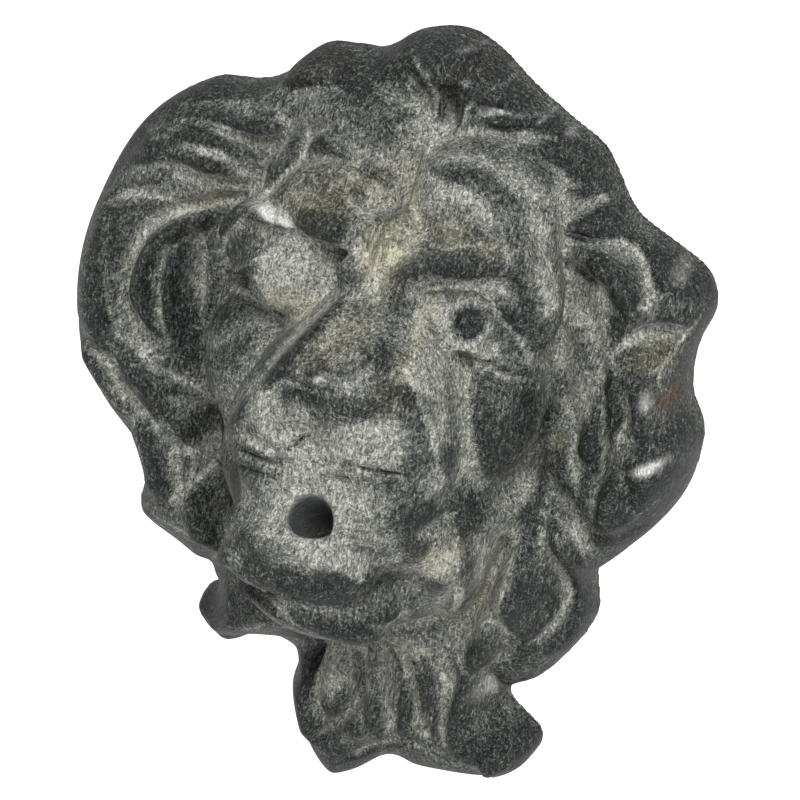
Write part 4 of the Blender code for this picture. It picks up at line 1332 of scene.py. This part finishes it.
def lead_and_painted_shading():
    """Lead gone dark on the high forms, with pale oxide and lime in the hollows, and painted shade and
    painted light laid over it.
    """
    m = Nodes("lead_patina_and_painted_shading")
    mottle = m.noise(scale=55, detail=4, roughness=0.6)
    patches = m.noise(scale=220, detail=4, roughness=0.65)
    grain = m.noise(scale=700, detail=3, roughness=0.7)
    rising = m.noise(scale=280, detail=3, roughness=0.75, streak=0.75)
    falling = m.noise(scale=250, detail=3, roughness=0.75, streak=-0.6)
    curls = m.scribble(scale=230, width=0.065)
    hairs = m.scribble(scale=360, width=0.07)
    scratches = m.scribble(scale=190, width=0.05)
    hollow = m.weigh(0.0, (m.value("hollow"), -0.12), (m.value("fine_hollow"), -0.1),
                     (m.value("wide_hollow"), -0.08))
    hollow = m.math("MINIMUM", hollow, HOLLOW_MOST)
    worn = m.weigh(1.15, (patches, 0.8))
    # The patina tone brings in painted shade and painted light along with the patina's own marks.
    broad = m.weigh(BASE_TONE, (hollow, 1.0), (m.value("patina_and_painted_shading"), worn), (mottle, 0.15), (patches, 0.2))
    broad = m.math("MAXIMUM", m.math("MINIMUM", broad, TONE_HIGH), TONE_LOW)
    tone = m.weigh(broad, (grain, 0.9), (rising, 1.0), (falling, 0.9), (curls, 0.3), (hairs, 0.18),
                   (scratches, -0.26))
    light = m.math("MULTIPLY", tone, TONE_LIGHT)
    color = m.ramp(light, LEAD_STEP, LEAD_COLORS)
    for name, colors in LAYER_COLORS.items():
        share = m.math("MULTIPLY", m.value(name), worn, clamp=True)
        color = m.mix(share, color, m.ramp(light, LAYER_STEP, colors))
    # Painted shade darkens the inside of the bore.
    color = m.mix(m.value("bore"), color, BORE_SHADE_COLOR)
    rough = m.math("ADD", 0.5, m.math("MULTIPLY", tone, 0.35), clamp=True)
    relief = m.weigh(0.0, (patches, 0.9), (grain, 0.6), (curls, 0.2), (hairs, 0.12), (scratches, -0.25))
    bump = m.add("Bump")
    m.fill(bump, Height=relief, Strength=0.7, Distance=RELIEF_RISE)
    m.fill(m.shader, Base_Color=color, Metallic=0.0, Roughness=rough, Specular_IOR_Level=0.15,
           Normal=bump.outputs[0])
    return m.material


def plain(name, color, roughness):
    m = Nodes(name)
    m.fill(m.shader, Base_Color=(*color, 1), Roughness=roughness)
    return m.material


def lay_floor():
    half = FLOOR_SIZE / 2
    z = MASK_LOW.z - FLOOR_DROP
    points = np.array([(-half, -half, z), (half, -half, z), (half, half, z), (-half, half, z)])
    floor = add_mesh("floor", points, np.array([[0, 1, 2, 3]]))
    floor.data.materials.append(plain("pale_floor", FLOOR_COLOR, 0.9))


def toward(turn, rise):
    """The way out from the mask's face, at a turn to the right and a rise in degrees."""
    turn, rise = math.radians(turn), math.radians(rise)
    return Vector((math.sin(turn) * math.cos(rise), -math.cos(turn) * math.cos(rise), math.sin(rise)))


def light_room():
    """A white room that lights from all round, and looks plain white where it is seen past the floor."""
    world = bpy.data.worlds.new("studio")
    bpy.context.scene.world = world
    world.use_nodes = True
    tree = world.node_tree
    backdrop = tree.nodes.new("ShaderNodeBackground")
    path = tree.nodes.new("ShaderNodeLightPath")
    seen = tree.nodes.new("ShaderNodeMixShader")
    tree.links.new(path.outputs["Is Camera Ray"], seen.inputs[0])
    lights = ((tree.nodes["Background"], ROOM_LIGHT), (backdrop, BACKDROP_LIGHT))
    for socket, (light, strength) in enumerate(lights, 1):
        light.inputs["Color"].default_value = (1, 1, 1, 1)
        light.inputs["Strength"].default_value = strength
        tree.links.new(light.outputs[0], seen.inputs[socket])
    tree.links.new(seen.outputs[0], tree.nodes["World Output"].inputs["Surface"])


def hang_key():
    """One wide soft light, in front of the mask and above it."""
    lamp = bpy.data.lights.new("key", "SUN")
    lamp.angle = math.radians(KEY_SPREAD)
    lamp.energy = KEY_POWER
    item = bpy.data.objects.new("key", lamp)
    bpy.context.collection.objects.link(item)
    item.rotation_euler = toward(KEY_TURN, KEY_RISE).to_track_quat("Z", "Y").to_euler()


def place_camera():
    back = toward(VIEW_TURN, VIEW_RISE)
    turn, lean = math.radians(VIEW_TURN), math.radians(VIEW_LEAN)
    right = Vector((math.cos(turn), math.sin(turn), 0))
    up = back.cross(right)
    side = math.cos(lean) * right - math.sin(lean) * up
    top = math.sin(lean) * right + math.cos(lean) * up
    camera = bpy.data.objects.new("camera", bpy.data.cameras.new("camera"))
    bpy.context.collection.objects.link(camera)
    camera.data.lens = LENS
    camera.matrix_world = (Matrix.Translation(Vector(VIEW_AIM) + back * VIEW_FAR)
                           @ Matrix((side, top, back)).transposed().to_4x4())
    bpy.context.scene.camera = camera
    bpy.context.scene.view_settings.view_transform = "Standard"


mask = model_mask()
mask.data.materials.append(lead_and_painted_shading())
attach(mask, "root")
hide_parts("lion_mask")
lay_floor()
light_room()
hang_key()
place_camera()
